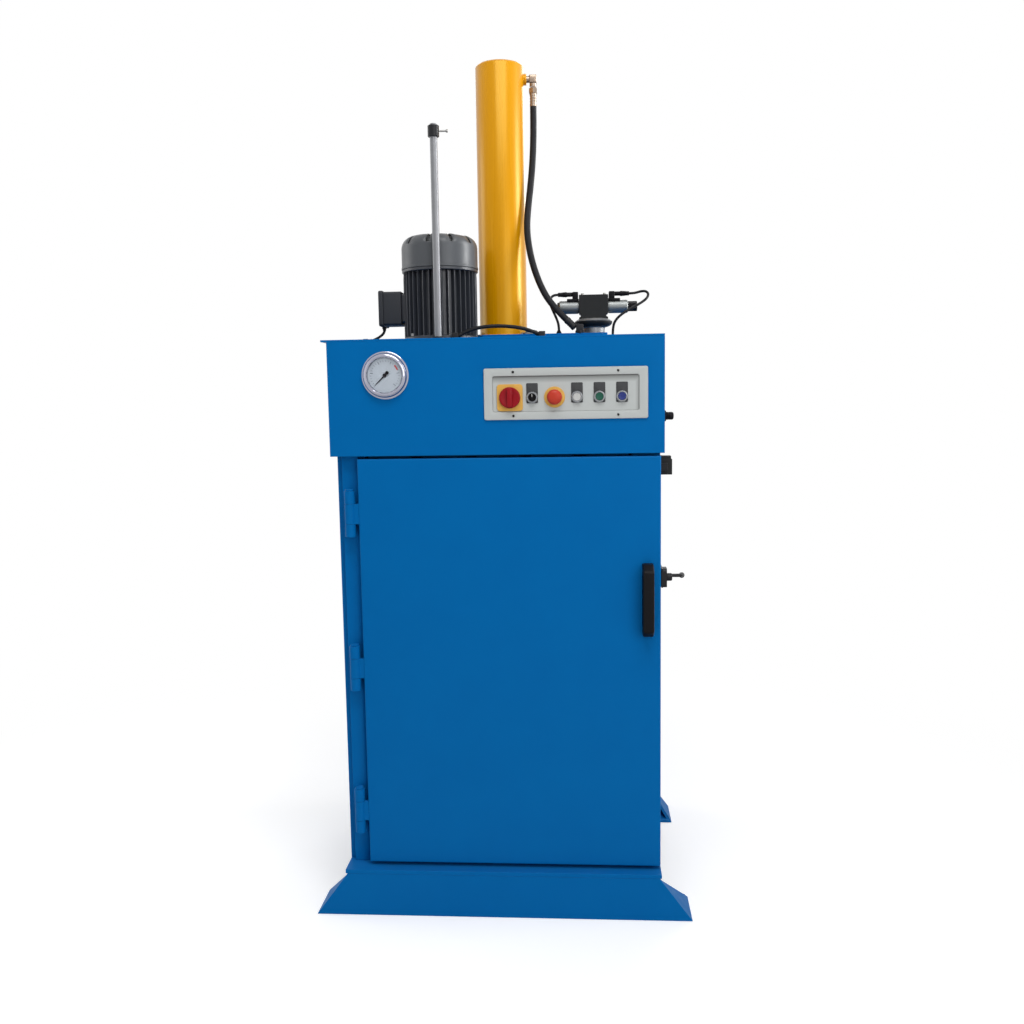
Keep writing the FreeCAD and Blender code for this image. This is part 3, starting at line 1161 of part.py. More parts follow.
liner_pieces = [block("door_liner_sheet", (pan_left, pan_right),
                      ("door_depth - liner_sheet", "door_depth"), (pan_low, pan_high))]
for level in (-1, 0, 1):
    low = f"{door_bottom} + door_height / 2 + ({level}) * door_rib_pitch - door_rib_height / 2"
    high = f"{low} + door_rib_height"
    back = "door_depth - liner_sheet"
    web = "door_sheet + liner_sheet"
    liner_pieces.append(extruded(f"door_rib_{level + 1}", "X",
                                 [("door_sheet", low), (back, low), (back, f"{low} + liner_sheet"),
                                  (web, f"{low} + liner_sheet"), (web, f"{high} - liner_sheet"),
                                  (back, f"{high} - liner_sheet"), (back, high),
                                  ("door_sheet", high)],
                                 (pan_left, pan_right)))
finish(fuse("door_liner", *liner_pieces))

handle_x = f"{door_right} - handle_side_gap"
handle_z = f"{door_bottom} + handle_rise"
handle_low = f"{handle_z} - handle_length / 2"
handle_high = f"{handle_z} + handle_length / 2"
bar_back = "handle_bar - handle_reach"
handle_plain = extruded("handle_plain", "X",
                        [("0", handle_low), ("-handle_reach / 2", handle_low),
                         ("-handle_reach", f"{handle_low} + handle_bend"),
                         ("-handle_reach", f"{handle_high} - handle_bend"),
                         ("-handle_reach / 2", handle_high), ("0", handle_high),
                         ("0", f"{handle_high} - handle_foot"),
                         (bar_back, f"{handle_high} - handle_foot - handle_slope"),
                         (bar_back, f"{handle_low} + handle_foot + handle_slope"),
                         ("0", f"{handle_low} + handle_foot")],
                        (f"{handle_x} - handle_width / 2", f"{handle_x} + handle_width / 2"))
finish(round_edges("door_handle", handle_plain, "handle_round",
                   lambda edge: edge.BoundBox.YMax < -number("handle_reach") / 2 + 0.01
                   and edge.BoundBox.XLength < 0.01))


# ---- hoses, cables and their fittings ---------------------------------------------------

def bent_tube(name, width, spots):
    """A tube along straight runs between the spots, joined by arcs tangent to both runs."""
    points = [FreeCAD.Vector(*spot) for spot in spots]
    edges = []
    start = points[0]
    for before, corner, after in zip(points, points[1:], points[2:]):
        arrive = corner - before
        leave = after - corner
        half_turn = arrive.getAngle(leave) / 2
        reach = 0.45 * min(arrive.Length, leave.Length)
        bend = reach / math.tan(half_turn)
        arc_start = corner - arrive.normalize() * reach
        arc_end = corner + leave.normalize() * reach
        inward = (arc_start + arc_end) * 0.5 - corner
        arc_middle = corner + inward.normalize() * (bend / math.cos(half_turn) - bend)
        edges.append(Part.LineSegment(start, arc_start).toShape())
        edges.append(Part.Arc(arc_start, arc_middle, arc_end).toShape())
        start = arc_end
        print(f"{name}: bend radius {bend:.1f} mm at {tuple(corner)}")
    edges.append(Part.LineSegment(start, points[-1]).toShape())
    spine = Part.Wire(edges)
    radius = number(width) / 2
    ring = Part.Wire([Part.Circle(points[0], points[1] - points[0], radius).toShape()])
    tube = doc.addObject("Part::Feature", name)
    tube.Shape = spine.makePipeShell([ring], True, False)
    share = tube.Shape.Volume / (math.pi * radius ** 2 * spine.Length)
    print(f"{name}: length {spine.Length:.0f} mm, volume over section times length {share:.4f}")
    return finish(tube)


def ferrule(name, start, along, length, width):
    """A straight sleeve that leaves a tube's end in the tube's direction."""
    foot = FreeCAD.Vector(*start)
    direction = FreeCAD.Vector(*start) - FreeCAD.Vector(*along)
    sleeve = doc.addObject("Part::Cylinder", name)
    bind(sleeve, "Height", length)
    bind(sleeve, "Radius", f"{width} / 2")
    sleeve.Placement = FreeCAD.Placement(foot, FreeCAD.Rotation(FreeCAD.Vector(0, 0, 1), direction))
    return sleeve


def fitted(route, start, end):
    """A drawn route, stretched along each axis so that its ends meet the two fittings."""
    places = []
    for drawn, low, high in zip(zip(*route), map(number, start), map(number, end)):
        span = drawn[-1] - drawn[0]
        stretch = (high - low) / span if abs(span) > 1 else 1
        places.append([low + (place - drawn[0]) * stretch for place in drawn])
    return list(zip(*places))


port_end = "barrel_outer / 2 + port_reach"
elbow_z = port_z
elbow_foot = f"{elbow_z} - elbow_drop"
seat_x = "valve_side - hose_seat_left"
seat_y = f"{valve_y} - hose_seat_front"
line_y = tank_front
line_z = f"{top_face} + line_rise"
motor_lead_x = f"{lid_left} + terminal_lid / 2"
motor_lead_z = f"{terminal_foot} - cable_gland_height"
left_gland = ("valve_side - left_gland_left", f"{valve_y} - left_gland_front")
right_gland = ("valve_side + right_gland_right", f"{valve_y} - right_gland_front")

hose_route = fitted([(92, 343, 2161), (92, 343, 2095), (89, 335, 2017), (83, 324, 1949),
                     (76, 312, 1890), (71, 298, 1821), (83, 285, 1743), (107, 272, 1671),
                     (138, 262, 1616), (181, 251, 1573)],
                    ("elbow_side", ram_y, elbow_foot),
                    (f"{seat_x} - hose_end_left", f"{seat_y} + hose_end_back",
                     f"{plate_top} + hose_end_rise"))
line_route = fitted([(-92, 100, 1531), (-71, 100, 1542), (-37, 100, 1549), (6, 100, 1551),
                     (52, 100, 1547), (85, 100, 1538.5), (102, 100, 1531)],
                    ("line_seat - line_seat_left", line_y, line_z),
                    ("line_seat_right - line_seat", line_y, line_z))
lead_route = fitted([(-313.5, 200, 1551), (-313.5, 200, 1541), (-321, 200, 1532),
                     (-335, 200, 1527.5), (-349, 200, 1525)],
                    (motor_lead_x, motor_y, motor_lead_z),
                    ("lead_seat - lead_seat_side + lead_gap", motor_y, f"{top_face} + lead_rise"))
left_route = fitted([(155.5, 300, 1646), (144, 300, 1646), (135, 295, 1637), (134, 286, 1620),
                     (143, 278, 1599), (153, 273, 1577), (158, 271, 1560), (158, 271, 1546)],
                    (f"{valve_left} - ({nose_end})", valve_y, nose_z),
                    (*left_gland, f"{plate_top} + cable_gland_height"))
right_route = fitted([(351.5, 300, 1646), (367, 300, 1646), (384, 298, 1651),
                      (398, 291, 1650), (404, 282, 1641), (398, 271, 1628), (380, 263, 1615),
                      (354, 257, 1601), (328, 253, 1586), (310, 253, 1568), (305, 256, 1547),
                      (305, 256, 1526)],
                     (f"{valve_right} + {nose_end}", valve_y, nose_z),
                     (*right_gland, f"{top_face} + cable_gland_height"))
bent_tube("cylinder_hose", "hose_width", hose_route)
bent_tube("pump_hose", "line_width", line_route)
bent_tube("motor_cable", "lead_width", lead_route)
bent_tube("left_cable", "cable_width", left_route)
bent_tube("right_cable", "cable_width", right_route)

elbow = fuse("upper_elbow",
             bar("elbow_nipple_bar", "X", (ram_y, elbow_z),
                 (port_end, "elbow_side"), "elbow_nipple"),
             block("elbow_cube", ("elbow_side - elbow_block / 2", "elbow_side + elbow_block / 2"),
                   (f"{ram_y} - elbow_block / 2", f"{ram_y} + elbow_block / 2"),
                   (f"{elbow_z} - elbow_block / 2", f"{elbow_z} + elbow_block / 2")),
             bar("elbow_stem_bar", "Z", ("elbow_side", ram_y), (elbow_foot, elbow_z), "elbow_stem"),
             hexagon("elbow_nut", "Z", ("elbow_side", ram_y),
                     (f"{elbow_z} - elbow_hex_drop - elbow_hex_height",
                      f"{elbow_z} - elbow_hex_drop"), "elbow_hex"))
hose_seat = fuse("hose_seat",
                 block("hose_seat_block",
                       (f"{seat_x} - hose_seat_width / 2", f"{seat_x} + hose_seat_width / 2"),
                       (f"{seat_y} - hose_seat_width / 2", f"{seat_y} + hose_seat_width / 2"),
                       (plate_top, f"{plate_top} + hose_seat_height")),
                 ferrule("hose_ferrule", hose_route[-1], hose_route[-2], "hose_ferrule_length",
                         "ferrule_width"))
line_seats = []
for side, centre, end, before in (
        ("left", "-line_seat_left", line_route[0], line_route[1]),
        ("right", "line_seat_right", line_route[-1], line_route[-2])):
    line_seats.append(fuse(f"line_seat_{side}",
                           block(f"line_block_{side}",
                                 (f"{centre} - line_seat / 2", f"{centre} + line_seat / 2"),
                                 (f"{line_y} - line_seat / 2", f"{line_y} + line_seat / 2"),
                                 (top_face, f"{top_face} + line_seat_height")),
                           ferrule(f"line_ferrule_{side}", end, before, "line_ferrule_length",
                                   "line_ferrule_width")))
line_seats.append(fuse("lead_seat",
                       block("lead_block", ("-lead_seat_side", "lead_seat - lead_seat_side"),
                             (f"{motor_y} - lead_seat / 2", f"{motor_y} + lead_seat / 2"),
                             (top_face, f"{top_face} + lead_seat")),
                       ferrule("lead_ferrule", lead_route[-1], lead_route[-2],
                               "lead_ferrule_length", "lead_ferrule_width")))
cable_glands = [
    bar("left_cable_gland", "Z", left_gland,
        (plate_top, f"{plate_top} + cable_gland_height"), "cable_gland_width"),
    bar("right_cable_gland", "Z", right_gland,
        (top_face, f"{top_face} + cable_gland_height"), "cable_gland_width"),
    bar("motor_cable_gland", "Z", (motor_lead_x, motor_y), (motor_lead_z, terminal_foot),
        "lead_ferrule_width"),
]
finish(group("hose_fittings", elbow, hose_seat, *line_seats, *cable_glands))
finish(group("bolts", *plate_bolts, *motor_bolts))


# ---- checks and export ------------------------------------------------------------------

doc.removeObject("scratch_number")
doc.recompute()
for item in doc.Objects:
    if "Invalid" in item.State or "Error" in item.State:
        raise RuntimeError(f"{item.Name} did not build")
for name, piece in parts.items():
    if piece.Shape.isNull() or not piece.Shape.isValid():
        raise RuntimeError(f"{name} has no valid shape")
os.makedirs("parts", exist_ok=True)
for name, piece in parts.items():
    piece.Shape.exportStep(f"parts/{name}.step")
print(f"{len(parts)} sub-parts written")
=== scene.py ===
import json
import math

import bmesh
import bpy
import numpy as np
from mathutils import Matrix, Vector

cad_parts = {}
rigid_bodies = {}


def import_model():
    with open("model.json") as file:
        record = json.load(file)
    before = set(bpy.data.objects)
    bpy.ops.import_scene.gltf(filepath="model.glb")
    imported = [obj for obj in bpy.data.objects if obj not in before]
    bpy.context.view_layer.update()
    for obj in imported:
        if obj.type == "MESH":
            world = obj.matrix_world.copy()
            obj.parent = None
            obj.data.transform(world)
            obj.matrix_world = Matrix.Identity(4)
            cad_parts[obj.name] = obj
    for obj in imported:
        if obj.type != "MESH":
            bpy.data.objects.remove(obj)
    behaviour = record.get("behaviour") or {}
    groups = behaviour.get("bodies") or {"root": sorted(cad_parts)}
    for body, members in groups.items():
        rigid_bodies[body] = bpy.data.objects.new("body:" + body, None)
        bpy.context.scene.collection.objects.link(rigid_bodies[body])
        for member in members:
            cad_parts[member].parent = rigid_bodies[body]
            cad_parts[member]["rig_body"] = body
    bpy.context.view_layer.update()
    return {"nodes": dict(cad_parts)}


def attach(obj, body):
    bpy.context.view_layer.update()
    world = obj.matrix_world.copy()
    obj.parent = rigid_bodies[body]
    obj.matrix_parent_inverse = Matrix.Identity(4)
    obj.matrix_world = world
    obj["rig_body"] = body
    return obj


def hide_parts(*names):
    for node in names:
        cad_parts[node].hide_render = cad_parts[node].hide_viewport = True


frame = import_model()
scene = bpy.context.scene
scene.view_settings.view_transform = "Standard"
print("frame loaded")

# Lengths of pieces are in millimetres, and addPiece turns them into metres.
upward, downward, forward, backward = (0, 0, 1), (0, 0, -1), (0, -1, 0), (0, 1, 0)
rightward, leftward = (1, 0, 0), (-1, 0, 0)


# camera

cameraView = {"place": (0.2156, -2.5051, 1.3640), "aim": (-0.06963, 0.99105, -0.11386),
              "roll": -0.01587, "focalPixels": 993.44, "framePixels": 1024, "sensor": 36}


def addCamera(view):
    # right and up are squared to the aim, then both are turned by the roll
    aim = Vector(view["aim"]).normalized()
    level = aim.cross(Vector(upward)).normalized()
    rise = level.cross(aim)
    right = math.cos(view["roll"]) * level + math.sin(view["roll"]) * rise
    up = right.cross(aim)
    data = bpy.data.cameras.new("camera")
    data.sensor_width = view["sensor"]
    data.lens = view["focalPixels"] * view["sensor"] / view["framePixels"]
    camera = bpy.data.objects.new("camera", data)
    scene.collection.objects.link(camera)
    turn = Matrix((right, up, -aim)).transposed()
    camera.matrix_world = Matrix.Translation(view["place"]) @ turn.to_4x4()
    scene.camera = camera


addCamera(cameraView)


# finishes

def tone(red, green, blue):
    # screen levels of 0 to 255, turned to linear light
    share = np.array([red, green, blue]) / 255
    light = np.where(share <= 0.04045, share / 12.92, ((share + 0.055) / 1.055) ** 2.4)
    return (*light.tolist(), 1.0)


def look(shade, drift, rough, grain, **more):
    # the two colours that it wanders between, its least and most roughness, and the scale of
    # its fine bump with the depth in metres
    return {"shade": tone(*shade), "drift": tone(*drift), "rough": rough, "grain": grain, **more}


finishes = {
    "blue_paint": look((0, 98, 166), (0, 104, 172), (0.34, 0.46), (420, 0.00006), specular=0.05,
                       dust=0.02),
    "cylinder_paint": look((207, 143, 0), (198, 132, 0), (0.24, 0.32), (260, 0.00005),
                           specular=0.65, tint=tone(255, 230, 130), stretch=(1, 1, 0.04)),
    "motor_paint": look((52, 55, 62), (42, 45, 51), (0.3, 0.42), (900, 0.0002), specular=0.45,
                        dust=0.05),
    "box_paint": look((44, 46, 50), (54, 56, 60), (0.4, 0.5), (900, 0.0002), specular=0.15,
                      dust=0.06, slot="motor_paint"),
    "cowl_paint": look((76, 79, 83), (66, 69, 73), (0.3, 0.42), (600, 0.0001), dust=0.06),
    "black_metal": look((22, 23, 26), (33, 34, 36), (0.35, 0.5), (900, 0.00012), specular=0.2),
    # the panel's recess carries a painted shadow, darker towards its top and right edges
    "panel_white": look((188, 192, 191), (182, 186, 185), (0.36, 0.46), (700, 0.00005),
                        specular=0.2,
                        worn=((0.3615, 0.010, 0.45), (1.4185, 0.018, 0.75), (-0.0044, -0.0034))),
    "dark_steel": look((58, 58, 60), (78, 78, 80), (0.35, 0.55), (500, 0.00012), metal=0.6),
    "bright_steel": look((150, 150, 148), (132, 131, 129), (0.26, 0.42), (700, 0.00004), metal=1.0),
    "rod_chrome": look((128, 129, 132), (118, 119, 122), (0.46, 0.54), (40, 0.000002), metal=0.85),
    "gauge_chrome": look((178, 180, 192), (148, 148, 164), (0.08, 0.16), (300, 0.00002), metal=1.0),
    "pump_aluminium": look((140, 141, 142), (122, 123, 125), (0.4, 0.6), (800, 0.0002), metal=0.8),
    "valve_iron": look((23, 24, 25), (32, 33, 34), (0.4, 0.55), (800, 0.0002), specular=0.2,
                       metal=0.1),
    "dial_white": look((168, 176, 184), (160, 168, 176), (0.34, 0.42), (900, 0.00002)),
    # clear glass is given in linear light
    "gauge_glass": {"shade": (1, 1, 1, 1), "drift": (0.97, 0.98, 1, 1), "rough": (0.0, 0.03),
                    "glass": 1.0, "grain": (60, 0.00001)},
    "legend_plastic": look((56, 57, 59), (66, 67, 69), (0.4, 0.5), (900, 0.00006), specular=0.2),
    # the seal's grey carries a painted shadow under the recess's top and right edges
    "seal_grey": look((164, 166, 165), (150, 152, 151), (0.5, 0.6), (900, 0.00006), specular=0.1,
                      worn=((0.3615, 0.003, 0.6), (1.4185, 0.003, 1.0), (-0.0048, -0.0036)),
                      slot="legend_plastic"),
    "bezel_plastic": look((146, 148, 151), (128, 130, 134), (0.22, 0.32), (700, 0.00005),
                          metal=0.7),
    "black_plastic": look((12, 11, 14), (22, 21, 24), (0.34, 0.46), (900, 0.00012), specular=0.1),
    "switch_plastic": look((26, 27, 28), (36, 37, 38), (0.4, 0.5), (900, 0.00012), specular=0.18),
    "white_plastic": look((196, 196, 194), (186, 186, 184), (0.26, 0.34), (700, 0.00004)),
    "green_plastic": look((30, 86, 70), (26, 76, 62), (0.26, 0.34), (700, 0.00004), specular=0.25),
    "blue_plastic": look((46, 58, 124), (38, 50, 112), (0.26, 0.34), (700, 0.00004), specular=0.25),
    "yellow_plastic": look((218, 170, 84), (212, 162, 76), (0.3, 0.4), (700, 0.00005),
                           specular=0.2),
    "red_plastic": look((152, 12, 26), (138, 8, 22), (0.26, 0.36), (700, 0.00005), specular=0.2),
    "stop_red": look((190, 60, 42), (178, 54, 38), (0.3, 0.4), (700, 0.00005), specular=0.2,
                     slot="red_plastic"),
    "hose_rubber": look((20, 20, 23), (30, 30, 33), (0.42, 0.6), (900, 0.0002), specular=0.16),
    "cable_sheath": look((19, 19, 22), (29, 29, 32), (0.38, 0.52), (700, 0.00012), specular=0.16),
    "fitting_brass": look((162, 144, 128), (140, 124, 110), (0.24, 0.38), (700, 0.00006), metal=0.9,
                          slot="bright_steel"),
    "black_oxide": look((26, 26, 29), (42, 41, 42), (0.35, 0.5), (800, 0.0001), specular=0.25,
                        metal=0.3, slot="bright_steel"),
    "sleeve_steel": look((134, 137, 136), (120, 123, 123), (0.36, 0.46), (700, 0.00005), metal=0.65,
                         slot="bright_steel"),
    "dial_ink": look((22, 22, 24), (34, 34, 36), (0.5, 0.6), (900, 0.00001), specular=0.2,
                     slot="dial_white"),
    "dial_red": look((176, 44, 40), (160, 36, 34), (0.5, 0.6), (900, 0.00001), slot="dial_white"),
}

# scale and detail of each noise, and what every finish shares
surfaceSettings = {"drift": (7, 4), "streaks": (40, 4), "rough": (35, 5), "dust": (18, 6),
                   "grainDetail": 3, "bump": 0.5, "noiseSpan": (0.3, 0.7), "specular": 0.35,
                   "index": 1.5, "glassIndex": 1.1, "dustShade": tone(190, 186, 178),
                   # the last colour is that of the painted shadow in the panel's recess and seal
                   "wornShade": tone(70, 70, 70)}
madeFinishes = {}


def wired(tree, node, inputs):
    # an input takes either a value or the output of another node
    for name, value in inputs.items():
        if isinstance(value, bpy.types.NodeSocket):
            tree.links.new(value, node.inputs[name])
        else:
            node.inputs[name].default_value = value
    return node


def addNode(tree, kind, inputs, **settings):
    node = tree.nodes.new("ShaderNode" + kind)
    for name, value in settings.items():
        setattr(node, name, value)
    return wired(tree, node, inputs)


def reckoned(tree, operation, first, second, clamped=False):
    node = addNode(tree, "Math", {0: first, 1: second}, operation=operation, use_clamp=clamped)
    return node.outputs["Value"]


def ramped(tree, value, start, end, low=0.0, high=1.0, **settings):
    # the result goes from low to high while the value goes from start to end
    inputs = {"Value": value, "From Min": start, "From Max": end, "To Min": low, "To Max": high}
    return addNode(tree, "MapRange", inputs, **settings).outputs["Result"]


def finish(name):
    # colour drifts on a broad noise, dust lies on what faces up, roughness follows a middling
    # noise and the bump a fine one
    if name in madeFinishes:
        return madeFinishes[name]
    chosen, shared = finishes[name], surfaceSettings
    material = madeFinishes[name] = bpy.data.materials.new(name + "_finish")
    material.use_nodes = True
    tree = material.node_tree
    place = addNode(tree, "TexCoord", {}).outputs["Object"]
    stretch = {"Vector": place, "Scale": chosen.get("stretch", (1, 1, 1))}
    stretched = addNode(tree, "Mapping", stretch).outputs["Vector"]

    def noise(scale, detail, source=place):
        inputs = {"Scale": scale, "Detail": detail, "Vector": source}
        return addNode(tree, "TexNoise", inputs).outputs["Fac"]

    def mixed(share, first, second):
        inputs = {"Factor": share, "A": first, "B": second}
        return addNode(tree, "Mix", inputs, data_type="RGBA").outputs["Result"]

    wander = noise(*shared["streaks" if "stretch" in chosen else "drift"], stretched)
    colour = mixed(wander, chosen["shade"], chosen["drift"])
    if "dust" in chosen:
        normal = addNode(tree, "NewGeometry", {}).outputs["Normal"]
        upper = addNode(tree, "SeparateXYZ", {"Vector": normal}).outputs["Z"]
        amount = reckoned(tree, "MULTIPLY", upper, chosen["dust"], clamped=True)
        settled = reckoned(tree, "MULTIPLY", amount, noise(*shared["dust"]))
        colour = mixed(settled, colour, shared["dustShade"])
    if "worn" in chosen:
        # painted shadow: the panel's recess darkens towards its right and top edges, where shade
        # falls, and its border keeps its own colour
        axes = addNode(tree, "SeparateXYZ", {"Vector": place}).outputs
        (side, sideReach, sideMost), (top, topReach, topMost), (border, floor) = chosen["worn"]
        deepest = reckoned(tree, "MAXIMUM",
                           ramped(tree, axes["X"], side - sideReach, side, 0, sideMost),
                           ramped(tree, axes["Z"], top - topReach, top, 0, topMost))
        inside = reckoned(tree, "MULTIPLY", deepest, ramped(tree, axes["Y"], border, floor))
        colour = mixed(inside, colour, shared["wornShade"])
    middling = noise(*shared["rough"], stretched)
    scale, depth = chosen["grain"]
    bump = addNode(tree, "Bump", {"Strength": shared["bump"], "Distance": depth,
                                  "Height": noise(scale, shared["grainDetail"])})
    wired(tree, tree.nodes["Principled BSDF"], {
        "Base Color": colour, "Normal": bump.outputs["Normal"],
        "Roughness": ramped(tree, middling, *shared["noiseSpan"], *chosen["rough"]),
        "Metallic": chosen.get("metal", 0), "Transmission Weight": chosen.get("glass", 0),
        "Specular IOR Level": chosen.get("specular", shared["specular"]),
        "Specular Tint": chosen.get("tint", (1, 1, 1, 1)),
        "IOR": shared["glassIndex" if "glass" in chosen else "index"]})
    return material



# shapes: each is a pair of points and faces

def unit(vector):
    return np.asarray(vector, float) / np.linalg.norm(vector)


def placed(local, centre, axis):
    # local x and y are laid on two side directions and local z on the axis
    along = unit(axis)
    helper = (0, 1, 0) if abs(along[2]) > 0.9 else upward
    across = unit(np.cross(helper, along))
    return np.asarray(centre, float) + local @ np.array([across, np.cross(along, across), along])


def gridShape(points, wrapRows=False, wrapColumns=False, caps=False):
    # one quad between every four neighbours of a grid of points, and a face on each end row
    rows, columns = points.shape[:2]
    index = np.arange(rows * columns).reshape(rows, columns)
    ends = [index[0][::-1].tolist(), index[-1].tolist()] if caps else []
    if wrapRows:
        index = np.vstack([index, index[:1]])
    if wrapColumns:
        index = np.hstack([index, index[:, :1]])
    quads = np.stack([index[:-1, :-1], index[:-1, 1:], index[1:, 1:], index[1:, :-1]], axis=-1)
    return points.reshape(-1, 3), quads.reshape(-1, 4).tolist() + ends


def joined(*shapes):
    points, faces, offset = [], [], 0
    for somePoints, someFaces in shapes:
        points.append(somePoints)
        faces += [[corner + offset for corner in face] for face in someFaces]
        offset += len(somePoints)
    return np.vstack(points), faces


def turned(profile, centre=(0, 0, 0), axis=upward, steps=48):
    # each radius and height of the profile goes round the axis: x = r cos a, y = r sin a
    profile = np.asarray(profile, float)
    angle = np.linspace(0, 2 * np.pi, steps, endpoint=False)
    radius, height = profile[:, :1], profile[:, 1:]
    local = np.stack([radius * np.cos(angle), radius * np.sin(angle), height + 0 * angle], axis=-1)
    return gridShape(placed(local, centre, axis), wrapColumns=True)


def spun(points, angle):
    # x' = x cos a - y sin a and y' = x sin a + y cos a
    x, y = points[:, 0], points[:, 1]
    return np.stack([x * np.cos(angle) - y * np.sin(angle),
                     x * np.sin(angle) + y * np.cos(angle)], axis=-1)


def softCorners(corners, radius, steps=4):
    # each corner of a closed outline becomes an arc that touches both its edges
    corners = np.asarray(corners, float)
    back = np.roll(corners, 1, 0) - corners
    ahead = np.roll(corners, -1, 0) - corners
    back /= np.linalg.norm(back, axis=1, keepdims=True)
    ahead /= np.linalg.norm(ahead, axis=1, keepdims=True)
    half = np.arccos(np.clip((back * ahead).sum(1), -1, 1))[:, None] / 2
    size = np.broadcast_to(np.asarray(radius, float), len(corners))[:, None]
    reach = size / np.tan(half)
    middle = back + ahead
    middle = corners + middle / np.linalg.norm(middle, axis=1, keepdims=True) * size / np.sin(half)
    first, last = corners + back * reach - middle, corners + ahead * reach - middle
    sweep = (np.pi - 2 * half)[:, None]
    share = np.linspace(0, 1, steps + 1)[None, :, None]
    arc = np.sin((1 - share) * sweep) * first[:, None] + np.sin(share * sweep) * last[:, None]
    return (middle[:, None] + arc / np.sin(sweep)).reshape(-1, 2)


def inset(outline, depth):
    # each point moves in along the mitre of its two edges
    edge = np.roll(outline, -1, 0) - outline
    edge /= np.linalg.norm(edge, axis=1, keepdims=True)
    normal = np.stack([-edge[:, 1], edge[:, 0]], axis=1)
    before = np.roll(normal, 1, 0)
    mitre = (normal + before) / (1 + (normal * before).sum(1, keepdims=True))
    return outline + depth * mitre


def extruded(outline, low, high, centre=(0, 0, 0), axis=upward, rim=1.0, steps=3):
    # the outline goes up the axis, drawn in at both ends by a quarter circle of the rim's radius
    turn = np.linspace(0, np.pi / 2, steps + 1)
    levels = [(rim * (1 - math.sin(t)), low + rim * (1 - math.cos(t))) for t in turn]
    levels += [(rim * (1 - math.sin(t)), high - rim * (1 - math.cos(t))) for t in turn[::-1]]
    rings = [np.column_stack([inset(outline, draw), np.full(len(outline), height)])
             for draw, height in levels]
    return gridShape(placed(np.array(rings), centre, axis), wrapColumns=True, caps=True)


def rectangle(wide, tall, radius, steps=4):
    x, y = wide / 2, tall / 2
    return softCorners([(-x, -y), (x, -y), (x, y), (-x, y)], radius, steps)


def softBox(low, high, radius=2.0, rim=0.8, axis=upward):
    # a rounded rectangle between two corners, carried along the axis
    low, high = np.asarray(low, float), np.asarray(high, float)
    wide, tall, deep = np.abs(placed(np.eye(3), (0, 0, 0), axis) @ (high - low))
    return extruded(rectangle(wide, tall, radius), -deep / 2, deep / 2, (low + high) / 2, axis, rim)


def hexHead(width, height, centre, axis=upward, steps=48):
    # r = half width / cos(angle from the flat's middle), with a cone across the top corners
    angle = np.linspace(0, 2 * np.pi, steps, endpoint=False)
    flat = width / 2
    radius = flat / np.cos((angle + np.pi / 6) % (np.pi / 3) - np.pi / 6)
    crown = height - 0.5 * (radius - 0.94 * flat)
    rings = [(radius - 0.4, 0 * angle), (radius, 0 * angle + 0.4), (radius, crown),
             (0 * angle + 0.94 * flat, 0 * angle + height)]
    local = np.array([np.stack([r * np.cos(angle), r * np.sin(angle), z], axis=-1)
                      for r, z in rings])
    return gridShape(placed(local, centre, axis), wrapColumns=True, caps=True)


def bolt(width, height, centre, axis=upward):
    # a hexagon head on a flat washer
    washer = 0.14 * width
    reach = 0.98 * width
    disc = turned([(0, 0), (reach - 0.4, 0), (reach, 0.4), (reach, washer - 0.4),
                   (reach - 0.4, washer), (0, washer)], centre, axis)
    raised = np.asarray(centre, float) + washer * unit(axis)
    return joined(disc, hexHead(width, height - washer, raised, axis))


def roundTube(path, radius, steps=20):
    # a circle carried along a path, each ring square to the path there
    path = np.asarray(path, float)
    radius = np.broadcast_to(np.asarray(radius, float), len(path))
    tangent = np.gradient(path, axis=0)
    tangent /= np.linalg.norm(tangent, axis=1, keepdims=True)
    side = unit(np.cross(tangent[0], upward if abs(tangent[0][2]) < 0.9 else rightward))
    angle = np.linspace(0, 2 * np.pi, steps, endpoint=False)
    rings = []
    for spot, along, size in zip(path, tangent, radius):
        side = unit(side - along * (side @ along))
        lift = np.cross(along, side)
        rings.append(spot + size * (np.outer(np.cos(angle), side) + np.outer(np.sin(angle), lift)))
    return gridShape(np.array(rings), wrapColumns=True, caps=True)


def ring(radius, thickness, centre, axis=upward, steps=64):
    # a small circle carried round a large one
    angle = np.linspace(0, 2 * np.pi, 12, endpoint=False)
    points = turned(np.column_stack([radius + thickness * np.cos(angle),
                                     thickness * np.sin(angle)]), centre, axis, steps)[0]
    return gridShape(points.reshape(12, steps, 3), wrapRows=True, wrapColumns=True)


def addPiece(name, shape, finishName, body="frame", instead=(), sharp=32, thickness=0.0):
    points, faces = shape
    mesh = bpy.data.meshes.new(name)
    mesh.from_pydata((points * 0.001).tolist(), [], faces)
    work = bmesh.new()
    work.from_mesh(mesh)
    bmesh.ops.remove_doubles(work, verts=work.verts, dist=2e-6)
    bmesh.ops.recalc_face_normals(work, faces=work.faces)
    work.to_mesh(mesh)
    work.free()
    mesh.shade_smooth()
    mesh.set_sharp_from_angle(angle=math.radians(sharp))
    return dress(bpy.data.objects.new(name, mesh), finishName, body, instead, thickness)


def dress(piece, finishName, body, instead=(), thickness=0.0):
    scene.collection.objects.link(piece)
    piece.data.materials.clear()
    piece.data.materials.append(finish(finishName))
    if thickness:
        wall = piece.modifiers.new("wall", "SOLIDIFY")
        wall.thickness = thickness * 0.001
        wall.offset = -1
    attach(piece, body)
    if instead:
        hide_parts(*instead)
    return piece


# hoses and cables, as the points of part.py

